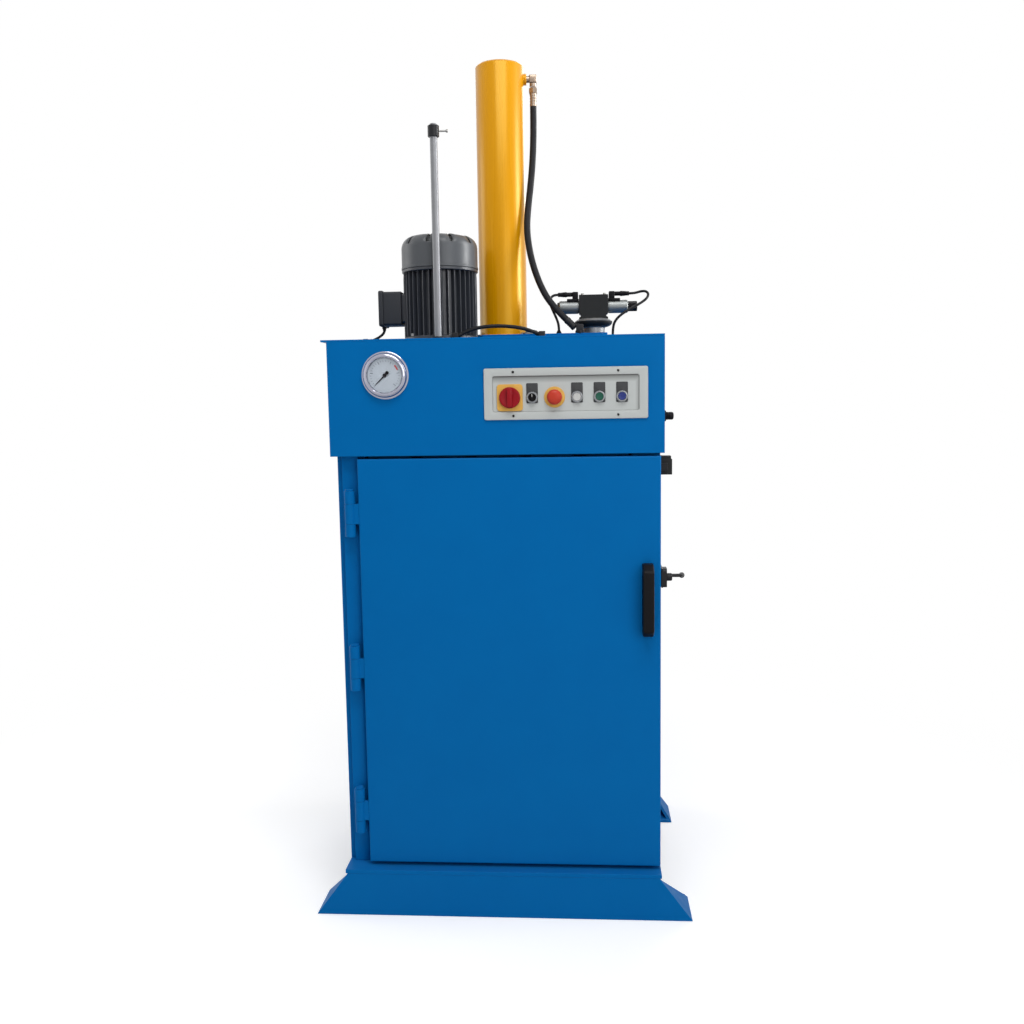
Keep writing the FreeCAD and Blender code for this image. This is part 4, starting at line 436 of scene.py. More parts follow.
cordSettings = {
    "cylinder_hose": {"width": 18, "length": 0.62, "finish": "hose_rubber", "stiffness": "stiff",
                      "route": [(92, 343, 2161), (92, 343, 2095), (89, 335, 2017), (83, 324, 1949),
                                (76, 312, 1890), (71, 298, 1821), (83, 285, 1743),
                                (107, 272, 1671), (138, 262, 1616), (181, 251, 1573)]},
    "pump_hose": {"width": 9.5, "length": 0.199, "finish": "hose_rubber", "stiffness": "medium",
                  "route": [(-92, 100, 1531), (-71, 100, 1542), (-37, 100, 1549), (6, 100, 1551),
                            (52, 100, 1547), (85, 100, 1538.5), (102, 100, 1531)]},
    "motor_cable": {"width": 7, "length": 0.05, "finish": "cable_sheath", "stiffness": "medium",
                    "route": [(-313.5, 200, 1551), (-314.5, 200, 1546), (-322, 200, 1538),
                              (-336, 200, 1529.5), (-349, 200, 1525)]},
    "left_cable": {"width": 7, "length": 0.122, "finish": "cable_sheath", "stiffness": "medium",
                   "route": [(155.5, 300, 1646), (144, 300, 1646), (135, 295, 1637),
                             (134, 286, 1620), (143, 278, 1599), (153, 273, 1577),
                             (158, 271, 1560), (158, 271, 1546)]},
    "right_cable": {"width": 7, "length": 0.226, "finish": "cable_sheath", "stiffness": "medium",
                    "route": [(351.5, 300, 1646), (367, 300, 1646), (384, 298, 1651),
                              (398, 291, 1650), (404, 282, 1641), (398, 271, 1628),
                              (380, 263, 1615), (354, 257, 1601), (328, 253, 1586),
                              (310, 253, 1568), (305, 256, 1547), (305, 256, 1526)]},
}


def addCord(node, cord):
    # a NURBS line with the route's points as its control points, given a round section
    curve = bpy.data.curves.new(node, "CURVE")
    curve.dimensions = "3D"
    line = curve.splines.new("NURBS")
    line.points.add(len(cord["route"]) - 1)
    for point, spot in zip(line.points, cord["route"]):
        point.co = (*(value * 0.001 for value in spot), 1)
    line.order_u = 3
    line.use_endpoint_u = True
    line.resolution_u = 12
    curve.bevel_depth = cord["width"] * 0.0005
    curve.bevel_resolution = 6
    curve.use_fill_caps = True
    piece = dress(bpy.data.objects.new(node + "_line", curve), cord["finish"], "frame", (node,))


for cordNode, cordSetting in cordSettings.items():
    addCord(cordNode, cordSetting)
print("hoses and cables made")


# press structure: merged copies of the CAD nodes with soft edges

structure = {
    "front_foot": ("blue_paint", 1.2), "rear_foot": ("blue_paint", 1.2),
    "floor_plate": ("blue_paint", 1.2), "left_side": ("blue_paint", 1.0),
    "right_side": ("blue_paint", 1.0), "rear_wall": ("blue_paint", 1.0),
    "hood_shell": ("blue_paint", 0.8), "hood_back": ("blue_paint", 0.8),
    "crown_beam": ("blue_paint", 1.5), "cylinder_plate": ("blue_paint", 1.5),
    "top_plate": ("blue_paint", 1.2), "platen": ("blue_paint", 1.2),
    "door_panel": ("blue_paint", 0.9), "door_liner": ("blue_paint", 0.8),
    "oil_tank": ("dark_steel", 0.8), "gear_pump": ("pump_aluminium", 1.5),
    "cylinder_gland": ("dark_steel", 0.8), "piston_rod": ("rod_chrome", 0.8),
    "motor_fan": ("black_plastic", 0.6), "drive_shaft": ("bright_steel", 0.6),
    "hinge_pins": ("blue_paint", 0.8), "latch_body": ("black_metal", 0.6),
    "latch_bolt": ("bright_steel", 0.8),
    "door_switch": ("switch_plastic", 1.0), "switch_plunger": ("bright_steel", 0.8),
    "valve_body": ("valve_iron", 1.5),
}

keptThin = ("latch_body",)  # its rounds stop where two edges are near


def softened(node, finishName, width):
    # flat faces are made whole again, then every edge over 32 degrees gets a small round
    source = frame["nodes"][node]
    mesh = source.data.copy()
    mesh.name = node + "_soft"
    work = bmesh.new()
    work.from_mesh(mesh)
    bmesh.ops.remove_doubles(work, verts=work.verts, dist=2e-6)
    bmesh.ops.dissolve_limit(work, angle_limit=math.radians(1), verts=work.verts, edges=work.edges)
    work.to_mesh(mesh)
    work.free()
    mesh.shade_smooth()
    mesh.set_sharp_from_angle(angle=math.radians(32))
    piece = bpy.data.objects.new(node + "_soft", mesh)
    dress(piece, finishName, source["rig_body"], (node,))
    edge = piece.modifiers.new("edge", "BEVEL")
    edge.width = width * 0.001
    edge.segments = 2
    edge.limit_method = "ANGLE"
    edge.angle_limit = math.radians(32)
    edge.use_clamp_overlap = node in keptThin
    edge.harden_normals = True
    return piece


strikerFrom = 0.4165  # metres: the door's plate beyond this is the striker, painted black
for structureNode, (structureFinish, structureEdge) in structure.items():
    structurePiece = softened(structureNode, structureFinish, structureEdge)
    if structureNode == "door_panel":
        structurePiece.data.materials.append(finish("black_metal"))
        for face in structurePiece.data.polygons:
            face.material_index = int(face.center.x > strikerFrom)
print("press structure made")


# cylinder and guide rod

ramAxis = (0, 343)
cylinderSettings = {"outer": 66.5, "bore": 55, "foot": 1472, "top": 2271, "cap": 26, "chamfer": 5,
                    "portWidth": 30, "portReach": 8, "portDrop": 37, "portSunk": 6,
                    "portWeld": 1.8, "footWeld": 3.2, "footWeldHeight": 1538}


def addCylinder(size):
    outer, bore, top, foot = size["outer"], size["bore"], size["top"], size["foot"]
    seam, edge, port = top - size["cap"], top - size["chamfer"], top - size["portDrop"]
    chamfer = size["chamfer"]
    tube = turned([(0, top), (outer - chamfer - 0.6, top), (outer - chamfer, top - 0.2),
                   (outer - 0.5, edge + 0.4), (outer, edge - 0.6), (outer, foot + 1),
                   (outer - 1, foot), (bore, foot), (bore, seam), (0, seam)],
                  (*ramAxis, 0), steps=96)
    low, sunk = size["portWidth"] / 2, size["portSunk"]
    end = sunk + size["portReach"]
    boss = turned([(0, 0), (low, 0), (low, end - 1), (low - 1, end), (0, end)],
                  (outer - sunk, ramAxis[1], port), rightward)
    portWeld = ring(low + 0.4, size["portWeld"], (outer - 1.4, ramAxis[1], port), rightward, 40)
    footWeld = ring(outer + 0.6, size["footWeld"], (*ramAxis, size["footWeldHeight"]), steps=96)
    addPiece("cylinder_tube", joined(tube, boss), "cylinder_paint", "frame", ("cylinder_barrel",))
    addPiece("cylinder_seams", joined(portWeld, footWeld), "cylinder_paint")


addCylinder(cylinderSettings)
guideSettings = {"centre": (-150, 80), "foot": 1228, "top": 2055.5, "radius": 9.4,
                 "bushLow": 1480, "bushRadius": 15, "plate": 1517, "flange": 19, "flangeTop": 1525,
                 "play": 0.1, "collarLow": 2023, "collarHigh": 2051, "collarRadius": 14.5,
                 "screwEnd": -113.5, "screwRadius": 2.5, "thread": (18, 0.35), "screwHead": 5}


def addGuide(size):
    # the screw's thread is drawn as ridges: every other point is drawn in
    centre = (*size["centre"], 0)
    radius, top, foot = size["radius"], size["top"], size["foot"]
    rod = turned([(0, foot), (radius - 1, foot), (radius, foot + 1), (radius, top - 1.5),
                  (radius - 1.5, top), (0, top)], centre, steps=40)
    bore, wide, flange = radius + size["play"], size["bushRadius"], size["flange"]
    low, plate, high = size["bushLow"], size["plate"], size["flangeTop"]
    bush = turned([(bore, low), (wide - 1, low), (wide, low + 1), (wide, plate),
                   (flange - 0.6, plate), (flange, plate + 0.6), (flange, high - 1.5),
                   (flange - 1.5, high), (bore + 2, high), (bore + 2, high - 3), (bore, high - 3),
                   (bore, low)], centre, steps=40)
    low, high, outer = size["collarLow"], size["collarHigh"], size["collarRadius"]
    collar = turned([(radius, low), (outer - 1.2, low), (outer, low + 1.2), (outer, high - 1.2),
                     (outer - 1.2, high), (radius, high), (radius, low)], centre, steps=48)
    thin, length = size["screwRadius"], size["screwEnd"] - size["centre"][0]
    ridges, depth = size["thread"]
    neck = length - size["screwHead"]
    thread = [(thin - depth * (index % 2), place)
              for index, place in enumerate(np.linspace(radius, neck, ridges))]
    screw = turned([(0, radius - 2), (thin, radius - 2), *thread, (thin, neck),
                    (thin + 1.6, length - 4.4), (thin + 1.6, length - 0.6), (thin + 1, length),
                    (1.2, length), (1.2, length - 2.5), (0, length - 2.5)],
                   (*size["centre"], (low + high) / 2), rightward, 24)
    addPiece("guide_rod_bar", rod, "rod_chrome", "ram", ("guide_rod",))
    addPiece("guide_bush_ring", bush, "black_metal", "frame", ("guide_bush",))
    addPiece("stop_collar_ring", collar, "black_metal", "ram", ("stop_collar",))
    addPiece("stop_collar_screw", screw, "bright_steel", "ram")


addGuide(guideSettings)
print("cylinder and guide made")


# motor

motorSettings = {"centre": (-158, 200), "foot": 1517, "base": 14, "baseRadius": 98.5,
                 "core": 82, "fin": 98.5, "finCount": 36, "finHalf": 1.8, "finFoot": 1530,
                 "rimLow": 1699, "rimHigh": 1707, "rimRadius": 101.5,
                 "cowlTop": 1794, "shoulder": 32, "slotInner": 26, "slotOuter": 112,
                 "slotHalf": 4.5, "slotCount": 10, "slotTurn": 8, "cowlBead": 1.2, "cowlWall": 2.4,
                 "saddleLow": (-259.5, 170, 1570), "saddleHigh": (-229, 230, 1644),
                 "boltRing": 90, "boltWidth": 15, "boltHead": 7}


def finGrid(size):
    # one fin's outline goes round the axis: root fillet, straight side, rounded tip, and back
    core, tip, half = size["core"], size["fin"], size["finHalf"]
    turn = np.linspace(-np.pi / 2, np.pi / 2, 5)
    side = np.array([(core + 0.3, -half - 1.6), (core + 1.4, -half - 0.5),
                     (core + 3.2, -half), (tip - half - 2, -half + 0.5)])
    crown = np.column_stack([tip - half + half * np.cos(turn), (half - 0.6) * np.sin(turn)])
    outline = np.vstack([side, crown, side[::-1] * (1, -1)])
    angle = np.linspace(0, 2 * np.pi, size["finCount"], endpoint=False)[:, None]
    return spun(outline, angle).reshape(-1, 2)


def addMotor(size):
    # fins sink into the core towards the cowl: point = core + share * (fin - core)
    centre = np.array([*size["centre"], 0.0])
    full = finGrid(size)
    core = size["core"]
    bare = full / np.linalg.norm(full, axis=1, keepdims=True) * core
    foot, top = size["finFoot"], size["rimLow"]
    levels = [(1, foot - 1), (1, foot + 4), (1, top - 14), (0.97, top - 6), (0.93, top + 1)]
    rings = [np.column_stack([bare + (full - bare) * share, np.full(len(full), height)])
             for share, height in levels]
    fins = gridShape(np.array(rings) + centre, wrapColumns=True)
    low, base, wide = size["foot"], size["foot"] + size["base"], size["baseRadius"]
    flange = turned([(13, low), (wide - 1.5, low), (wide, low + 1.5), (wide, base - 2),
                     (wide - 2, base), (core + 6, base), (core + 1, base + 3), (core, base + 9),
                     (core, foot), (core - 3, foot), (core - 3, low + 4), (13, low + 4), (13, low)],
                    centre, steps=144)
    low, high, rim = size["rimLow"], size["rimHigh"], size["rimRadius"]
    cap = turned([(14, low), (rim - 1.5, low), (rim, low + 1.5), (rim, high - 0.8),
                  (rim - 0.8, high), (14, high), (14, low)], centre, steps=144)
    saddle = softBox(size["saddleLow"], size["saddleHigh"], 5, 1.5, leftward)
    addPiece("motor_housing", joined(fins, flange, cap, saddle), "motor_paint", "frame",
             ("motor_body",), sharp=28)


def motorBolts(size):
    heads = []
    for quarter in range(4):
        angle = math.radians(45 + 90 * quarter)
        spot = (size["centre"][0] + size["boltRing"] * math.cos(angle),
                size["centre"][1] + size["boltRing"] * math.sin(angle), size["foot"] + size["base"])
        heads.append(hexHead(size["boltWidth"], size["boltHead"], spot))
    return heads


def slottedCowl(size):
    # rows follow the length s along the cowl's section: flat to the shoulder, a quarter circle,
    # then straight down. Columns follow the slots' edges, at arcsin(half width / radius)
    rim, top, shoulder = size["rimRadius"], size["cowlTop"], size["shoulder"]
    inner, outer, half = size["slotInner"], size["slotOuter"], size["slotHalf"]
    flat = rim - shoulder
    near = np.array([0, 0.4, 1.4, half])
    crown = [0.5, 12, 22]
    slot = np.concatenate([inner + near, np.linspace(inner, outer, 15)[1:-1], outer - near[::-1]])
    side = flat + shoulder * np.pi / 2
    foot = side + top - shoulder - size["rimHigh"]
    length = np.concatenate([crown, slot, np.linspace(outer + 1.5, side, 4),
                             [(side + foot) / 2, foot - 6, foot - 5, foot - 1, foot - 0.3]])
    bend = np.clip((length - flat) / shoulder, 0, np.pi / 2)
    radius = np.minimum(length, flat) + shoulder * np.sin(bend)
    radius[[-3, -2]] += size["cowlBead"]
    height = top - shoulder * (1 - np.cos(bend)) - np.maximum(length - side, 0)
    ends = np.clip(np.minimum(length - inner, outer - length), 0, half)
    width = np.sqrt(half ** 2 - (half - ends) ** 2)
    first, last = len(crown), len(crown) + len(slot) - 1
    width[last + 1:] = width[:first] = 0
    edge = np.arcsin(width / radius)[:, None]
    pitch = np.pi / size["slotCount"]
    middle = (pitch - edge) * 0.5
    across = np.hstack([-edge, edge, edge + middle, pitch + 0 * edge, 2 * pitch - edge - middle])
    centres = math.radians(size["slotTurn"]) + 2 * pitch * np.arange(size["slotCount"])
    angle = (centres[None, :, None] + across[:, None, :]).reshape(len(length), -1)
    radius, height = radius[:, None], height[:, None]
    points = np.stack([radius * np.cos(angle), radius * np.sin(angle), height + 0 * angle], axis=-1)
    shape, faces = gridShape(points + np.array([*size["centre"], 0.0]), wrapColumns=True)
    # the first of every slot's columns is left open, and one face closes the crown
    columns, perSlot = angle.shape[1], across.shape[1]
    kept = [face for face in faces if not (first <= face[0] // columns < last
                                           and (face[0] % columns) % perSlot == 0)]
    return shape, kept + [list(range(columns))]


addMotor(motorSettings)
addPiece("motor_cowl_sheet", slottedCowl(motorSettings), "cowl_paint", "frame", ("motor_cowl",),
         thickness=motorSettings["cowlWall"])
terminalSettings = {"low": (-307, 159, 1563), "high": (-259.5, 241, 1651),
                    "lidLow": (-320, 156, 1560), "lidHigh": (-307, 244, 1654), "screwInset": 9,
                    "screwSunk": 0.9}


def addTerminalBox(size):
    case = softBox(size["low"], size["high"], 6, 1.2, leftward)
    lid = softBox(size["lidLow"], size["lidHigh"], 7, 3, leftward)
    (face, *low), high, edge = size["lidLow"], size["lidHigh"][1:], size["screwInset"]
    head = [(0, 0.4), (1.6, 0.4), (2.2, 1.0), (3.6, 0.9), (4.2, 0.2), (4.2, -2), (0, -2)]
    screws = [turned(head, (face + size["screwSunk"], y, z), leftward, 24)
              for y in (low[0] + edge, high[0] - edge) for z in (low[1] + edge, high[1] - edge)]
    addPiece("terminal_case", joined(case, lid), "box_paint", "frame", ("terminal_box",))
    addPiece("terminal_screws", joined(*screws), "bright_steel")


addTerminalBox(terminalSettings)
plateBolts = {"spots": [(82, 261), (82, 425), (-82, 425), (-95, 323)], "foot": 1537, "width": 30,
              "height": 12.5}
boltShapes = [bolt(plateBolts["width"], plateBolts["height"], (*spot, plateBolts["foot"]))
              for spot in plateBolts["spots"]] + motorBolts(motorSettings)
addPiece("machine_bolts", joined(*boltShapes), "bright_steel", "frame", ("bolts",))
print("motor made")


# valve

valveSettings = {"centre": (253.5, 300), "foot": 1537, "neck": 31, "neckHeight": 19, "disc": 52,
                 "discHeight": 22, "chamfer": 8, "half": 40, "axisZ": 1611, "coil": 18,
                 "coilLength": 55, "capWidth": 24, "leftCap": 5, "rightCap": 25,
                 "plugLow": 1626, "plugDepth": 30, "plugFoot": (0.3, 33, 0, 7),
                 "plugPost": (2, 18, 6, 26), "nose": (14, 20), "screwSpots": (30, 16),
                 "screwFoot": 1641}


def addManifold(size):
    # the bowl's section is a quarter of an ellipse from the neck out to the disc
    x, y = size["centre"]
    foot, neck, disc, cut = size["foot"], size["neck"], size["disc"], size["chamfer"]
    step = foot + size["neckHeight"]
    top = step + size["discHeight"]
    turn = np.linspace(0, np.pi / 2, 8)
    bowl = np.column_stack([neck + 3 + (disc - neck - 3) * np.sin(turn),
                            top - cut - (top - cut - step) * np.cos(turn)])
    manifold = turned([(neck + 3, step - 0.2), *bowl, (disc - 1, top - cut + 1),
                       (0, top - cut + 1)], (x, y, 0), steps=72)
    lip = turned([(disc - 1.2, top - cut), (disc - 0.6, top - cut + 1.6), (disc - cut, top - 0.6),
                  (disc - cut - 1, top), (0, top)], (x, y, 0), steps=72)
    stem = turned([(0, foot), (neck + 2, foot), (neck + 2, foot + 3), (neck, foot + 4),
                   (neck, step - 3), (neck + 3, step), (0, step)], (x, y, 0), steps=72)
    addPiece("valve_base", manifold, "valve_iron", "frame", ("valve_manifold",))
    addPiece("valve_lip", joined(lip, stem), "pump_aluminium")


def addSolenoids(size):
    # on each side a sleeve with its end nut, and a plug of foot, post and ribbed nose
    x, y = size["centre"]
    wide, deep = size["screwSpots"]
    head = [(0, 0), (4.2, 0), (4.2, 5.4), (3.6, 6), (2.2, 6), (2.0, 2.5), (0, 2.5)]
    screws = [turned(head, (x + across, y + along, size["screwFoot"]), upward, 24)
              for across in (-wide, wide) for along in (-deep, deep)]
    addPiece("valve_screws", joined(*screws), "bright_steel")
    coil, length, low = size["coil"], size["coilLength"], size["plugLow"]
    sleeves, blocks = [], []
    for sign, axis, cap in ((-1, leftward, size["leftCap"]), (1, rightward, size["rightCap"])):
        face = x + sign * size["half"]
        sleeves.append(turned([(0, 0), (coil - 1, 0), (coil - 1, 1.5), (coil, 3),
                               (coil, length - 3), (coil - 1.5, length - 1), (coil - 4, length),
                               (0, length)], (face, y, size["axisZ"]), axis, 56))
        end = (face + sign * length, y, size["axisZ"])
        blocks.append(hexHead(size["capWidth"], cap, end, axis))
        for (near, far, under, over), rim in ((size["plugFoot"], 1), (size["plugPost"], 2)):
            left, right = sorted((face + sign * near, face + sign * far))
            half = size["plugDepth"] / 2
            blocks.append(softBox((left, y - half, low + under), (right, y + half, low + over),
                                  3, rim))
        out, lift = size["nose"]
        blocks.append(turned([(0, 0), (6, 0), (6, 18), (7.3, 21), (7.3, 25), (6.5, 26.5),
                              (7.2, 28), (6.3, 30), (6.9, 31.5), (6, 33.5), (6.5, 35),
                              (5.8, 37), (6, 42), (5.2, 44), (0, 44)],
                             (face + sign * out, y, low + lift), axis, 28))
    addPiece("solenoid_sleeves", joined(*sleeves), "sleeve_steel")
    addPiece("solenoid_plugs", joined(*blocks), "black_plastic", "frame", ("solenoids",))


addManifold(valveSettings)
addSolenoids(valveSettings)
print("valve made")


# hose fittings

# a crimp is named by its cord, 1 for the cord's start or -1 for its end, width and length, and
# a seat block by two corners, corner radius and rim
fittingSettings = {"elbow": (92, 343, 2234), "stemFoot": 2161, "stemWidth": 18.8, "block": 10.5,
                   "nippleStart": 73, "hex": 22, "hexLow": 2196, "hexHeight": 14,
                   "crimps": [("cylinder_hose", -1, 20, 30), ("pump_hose", 1, 12, 11),
                              ("pump_hose", -1, 12, 11), ("motor_cable", -1, 11, 10)],
                   "seat": ((205, 234, 1537), (225, 254, 1561), 2, 1.2),
                   "seatHex": (24, 7, (215, 244, 1537)),
                   "plateBlocks": [((-116, 92, 1517), (-100, 108, 1535), 2, 1),
                                   ((110, 92, 1517), (126, 108, 1535), 2, 1),
                                   ((-372, 193.5, 1517), (-359, 206.5, 1530), 2, 1)],
                   "glands": [("left_cable", 1546, 1537), ("right_cable", 1526, 1517)],
                   "glandHex": (14, 5), "boxGland": 1560, "boxGlandHex": (11, 4)}


def crimped(start, toward, width, length, steps=32):
    # a sleeve with three pressed bands and a rolled end, from a hose's end back along it
    radius = width / 2
    bands = []
    for share in (0.3, 0.5, 0.7):
        middle = share * length
        bands += [(radius, middle - 0.09 * length), (radius - 0.7, middle - 0.06 * length),
                  (radius - 0.7, middle + 0.06 * length), (radius, middle + 0.09 * length)]
    profile = [(0, 0), (radius - 1.6, 0), (radius - 0.4, 0.6), (radius, 1.6), *bands,
               (radius, length - 1.2), (radius - 0.8, length), (0, length)]
    return turned(profile, start, np.asarray(toward, float) - np.asarray(start, float), steps)


def addElbow(size):
    centre = x, y, z = size["elbow"]
    half, low, foot = size["block"], size["hexLow"], size["stemFoot"]
    block = softBox((x - half, y - half, z - half), (x + half, y + half, z + half), 3, 2.5)
    nipple = turned([(0, 0), (9, 0), (9, 10), (0, 10)], (size["nippleStart"] - 1, y, z),
                    rightward, 32)
    neck = turned([(0, -12), (9.4, -12), (9.4, -20), (0, -20)], centre, upward, 32)
    nut = hexHead(size["hex"], size["hexHeight"], (x, y, low))
    stem = crimped((x, y, foot), centre, size["stemWidth"], low + 1 - foot)
    addPiece("upper_elbow_fitting", joined(block, nipple, neck, nut, stem), "fitting_brass",
             "frame", ("hose_fittings",))


def addSeats(size):
    # a crimp starts 1.5 mm inside its cord's end and leads on from it, straight
    routes = {name: np.array(cord["route"], float) for name, cord in cordSettings.items()}
    steel = []
    for name, way, width, length in size["crimps"]:
        end, before = routes[name][::way][:2]
        ahead = end - before
        steel.append(crimped(end - 1.5 * unit(ahead), end + ahead, width, length + 1.5))
    steel += [softBox(*size["seat"]), hexHead(*size["seatHex"])]
    steel += [softBox(*block) for block in size["plateBlocks"]]
    addPiece("lower_fittings", joined(*steel), "black_oxide")
    glands = []
    for name, top, low in size["glands"]:
        x, y = routes[name][-1][:2]
        collar = [(0, low + 4), (5.6, low + 4), (5.6, top - 1.5), (4, top + 1), (0, top + 1)]
        glands += [hexHead(*size["glandHex"], (x, y, low)), turned(collar, (x, y, 0), upward, 28)]
    spot = (*routes["motor_cable"][0][:2], size["boxGland"])
    collar = [(0, 3.5), (4.6, 3.5), (4.6, 8), (3.8, 9.6), (0, 9.6)]
    glands += [hexHead(*size["boxGlandHex"], spot, downward), turned(collar, spot, downward, 28)]
    addPiece("cable_glands_small", joined(*glands), "black_plastic")


addElbow(fittingSettings)
addSeats(fittingSettings)
print("fittings made")


# pressure gauge

gaugeSettings = {"centre": (-276, 0, 1426), "flange": 60, "case": 48, "depth": 45, "ring": 56,
                 "window": 44, "proud": 16, "ringRound": 9, "dial": (5, 6), "glass": (10, 12),
                 "marks": 26, "firstMark": -225, "sweep": 270, "markRadius": 38,
                 "longMark": (7.5, 0.55), "shortMark": (4.0, 0.3), "ink": 5.9, "markTop": 6.12,
                 "band": (33.5, 37), "bandTurn": (22, 44), "bandTop": 6.16,
                 "needleTurn": -135, "needleLength": 34, "needle": (8, 9), "tail": 8.5}


def addGaugeCase(size):
    # the bezel's rounded edge is a quarter circle between its front and its side
    centre, window, proud = size["centre"], size["window"], size["proud"]
    rim, curve, case, depth = size["ring"], size["ringRound"], size["case"], size["depth"]
    turn = np.linspace(0, np.pi / 2, 9)
    dome = np.column_stack([rim - curve + curve * np.sin(turn),
                            proud - curve + curve * np.cos(turn)])
    bezel = turned([(window, 5), (window, proud - 5), (window + 1.2, proud - 1.6), *dome,
                    (rim, 3.6), (rim - 0.6, 3), (rim - 0.6, 2.8), (size["flange"] - 1.2, 2.8),
                    (size["flange"], 2), (size["flange"], 0), (case, 0), (case, 2 - depth),
                    (case - 2, -depth), (0, -depth), (0, -1), (window, -1), (window, 5)],
                   centre, forward, 96)
    addPiece("gauge_case_shell", bezel, "gauge_chrome", "frame", ("gauge_case",), sharp=24)
    discs = {}
    for part in ("dial", "glass"):
        low, high = size[part]
        discs[part] = turned([(0, low), (window - 0.3, low), (window - 0.3, high), (0, high)],
                             centre, forward, 72)
    addPiece("gauge_dial_face", discs["dial"], "dial_white", "frame", ("gauge_dial",))
    addPiece("gauge_glass_disc", discs["glass"], "gauge_glass", "frame", ("gauge_glass",))


def addDial(size):
    # marks stand evenly over the sweep, every fifth one long, and the red band near its end
    def inked(outline, high):
        return extruded(outline, size["ink"], high, size["centre"], forward, rim=0.02, steps=1)

    ticks = []
    end = size["markRadius"]
    for mark in range(size["marks"]):
        angle = math.radians(size["firstMark"] + size["sweep"] * mark / (size["marks"] - 1))
        reach, half = size["shortMark"] if mark % 5 else size["longMark"]
        bar = np.array([(end - reach, -half), (end, -half), (end, half), (end - reach, half)])
        ticks.append(inked(spun(bar, -angle), size["markTop"]))
    addPiece("gauge_ticks", joined(*ticks), "dial_ink")
    turn = np.radians(np.linspace(*size["bandTurn"], 9))
    arc = np.column_stack([np.cos(turn), np.sin(turn)])
    inner, outer = size["band"]
    addPiece("gauge_red_band", inked(np.vstack([outer * arc, inner * arc[::-1]]), size["bandTop"]),
             "dial_red")


def addNeedle(size):
    # the needle's rest is a turn anticlockwise as seen from the front
    x, y, z = centre = size["centre"]
    turnBy, length = math.radians(size["needleTurn"]), size["needleLength"]
    low, high = size["needle"]
    pointer = np.array([(-1.5, -12), (1.5, -12), (1.9, 4), (1.2, 26), (0.3, length),
                        (-0.3, length), (-1.2, 26), (-1.9, 4)])
    needle = extruded(spun(pointer, -turnBy), low, high, centre, forward, rim=0.15, steps=1)
    hub = turned([(0, -0.5), (2, -0.5), (2, low), (5, low), (5, high), (4.2, high + 0.5),
                  (0, high + 0.5)], centre, forward, 32)
    tail = (x - size["tail"] * math.sin(turnBy), y, z - size["tail"] * math.cos(turnBy))
    weight = turned([(0, low), (4.6, low), (4.6, high), (4, high + 0.3), (0, high + 0.3)],
                    tail, forward, 28)
    addPiece("gauge_needle_pointer", joined(needle, hub, weight), "black_plastic", "gauge_needle",
             ("gauge_needle",))


addGaugeCase(gaugeSettings)
addDial(gaugeSettings)
addNeedle(gaugeSettings)
print("gauge made")


# control panel

panelSettings = {"left": -26.5, "right": 383.5, "low": 1309.5, "high": 1438.5, "front": 5,
                 "border": 22, "borderEnds": 20, "recess": 2.5, "screwInset": 74}


def addPanel(size):
    # rounded rectangles from the back edge over the border and down into the recess, then the
    # seal's section round the recess
    wide, tall = size["right"] - size["left"], size["high"] - size["low"]
    openWide, openTall = wide - 2 * size["border"], tall - 2 * size["borderEnds"]
    middle = ((size["left"] + size["right"]) / 2, 0, (size["low"] + size["high"]) / 2)
    front, floor = size["front"], size["recess"]

    def rings(wide, tall, rows):
        # each row says how much narrower it is, its corners' radius and how far it stands out
        return [np.column_stack([rectangle(wide - draw, tall - draw, radius), np.full(20, rise)])
                for draw, radius, rise in rows]

    def around(layers, **ends):
        return gridShape(placed(np.array(layers), middle, forward), wrapColumns=True, **ends)

    border = rings(wide, tall, [(0, 5, 0), (0, 5, front - 2), (0.6, 4.7, front - 1),
                                (2, 4, front - 0.2), (4, 3, front)])
    recess = rings(openWide, openTall, [(-3, 6.5, front), (-1.4, 5.7, front - 0.3),
                                        (-0.3, 5.2, front - 1), (0, 5, floor + 0.6),
                                        (1, 4.5, floor)])
    addPiece("panel_sheet", around(border + recess, caps=True), "panel_white", "frame",
             ("control_panel",))
    edge, drop = size["screwInset"], size["borderEnds"] / 2
    head = [(0, 1), (1.4, 1), (1.7, 2.3), (2.4, 2.2), (3.0, 1.3), (3.2, 0), (0, 0)]
    screws = [turned(head, (x, -front, z), forward, 28)
              for x in (size["left"] + edge, size["right"] - edge)
              for z in (size["low"] + drop, size["high"] - drop)]
    addPiece("panel_screws", joined(*screws), "black_oxide")
    # the seal's grey is darkened by painted shadow towards the recess's top and right edges
    seal = rings(openWide, openTall, [(0.2, 4.6, 2.4), (0.2, 4.6, 3.4), (0.6, 4.6, 3.7),
                                      (1.8, 4.6, 3.6), (2.4, 4.6, 3.2), (2.4, 4.6, 2.4)])
    addPiece("panel_seal", around(seal, wrapRows=True), "seal_grey")


addPanel(panelSettings)
# from left to right: main switch, selector, stop button, white, green and blue buttons
controlSettings = {"z": 1365, "places": [39, 95, 151, 207, 263, 319], "small": (1, 3, 4, 5),
                   "face": 2.5,
                   "legend": (29, 50, 2.5), "legendRise": 10.5, "legendSheet": 1.2,
                   "plate": (65, 67, 8), "plateSheet": 4, "bore": 5.1, "stem": 5,
                   "shankEnd": -16.5, "stemEnd": -19.5}


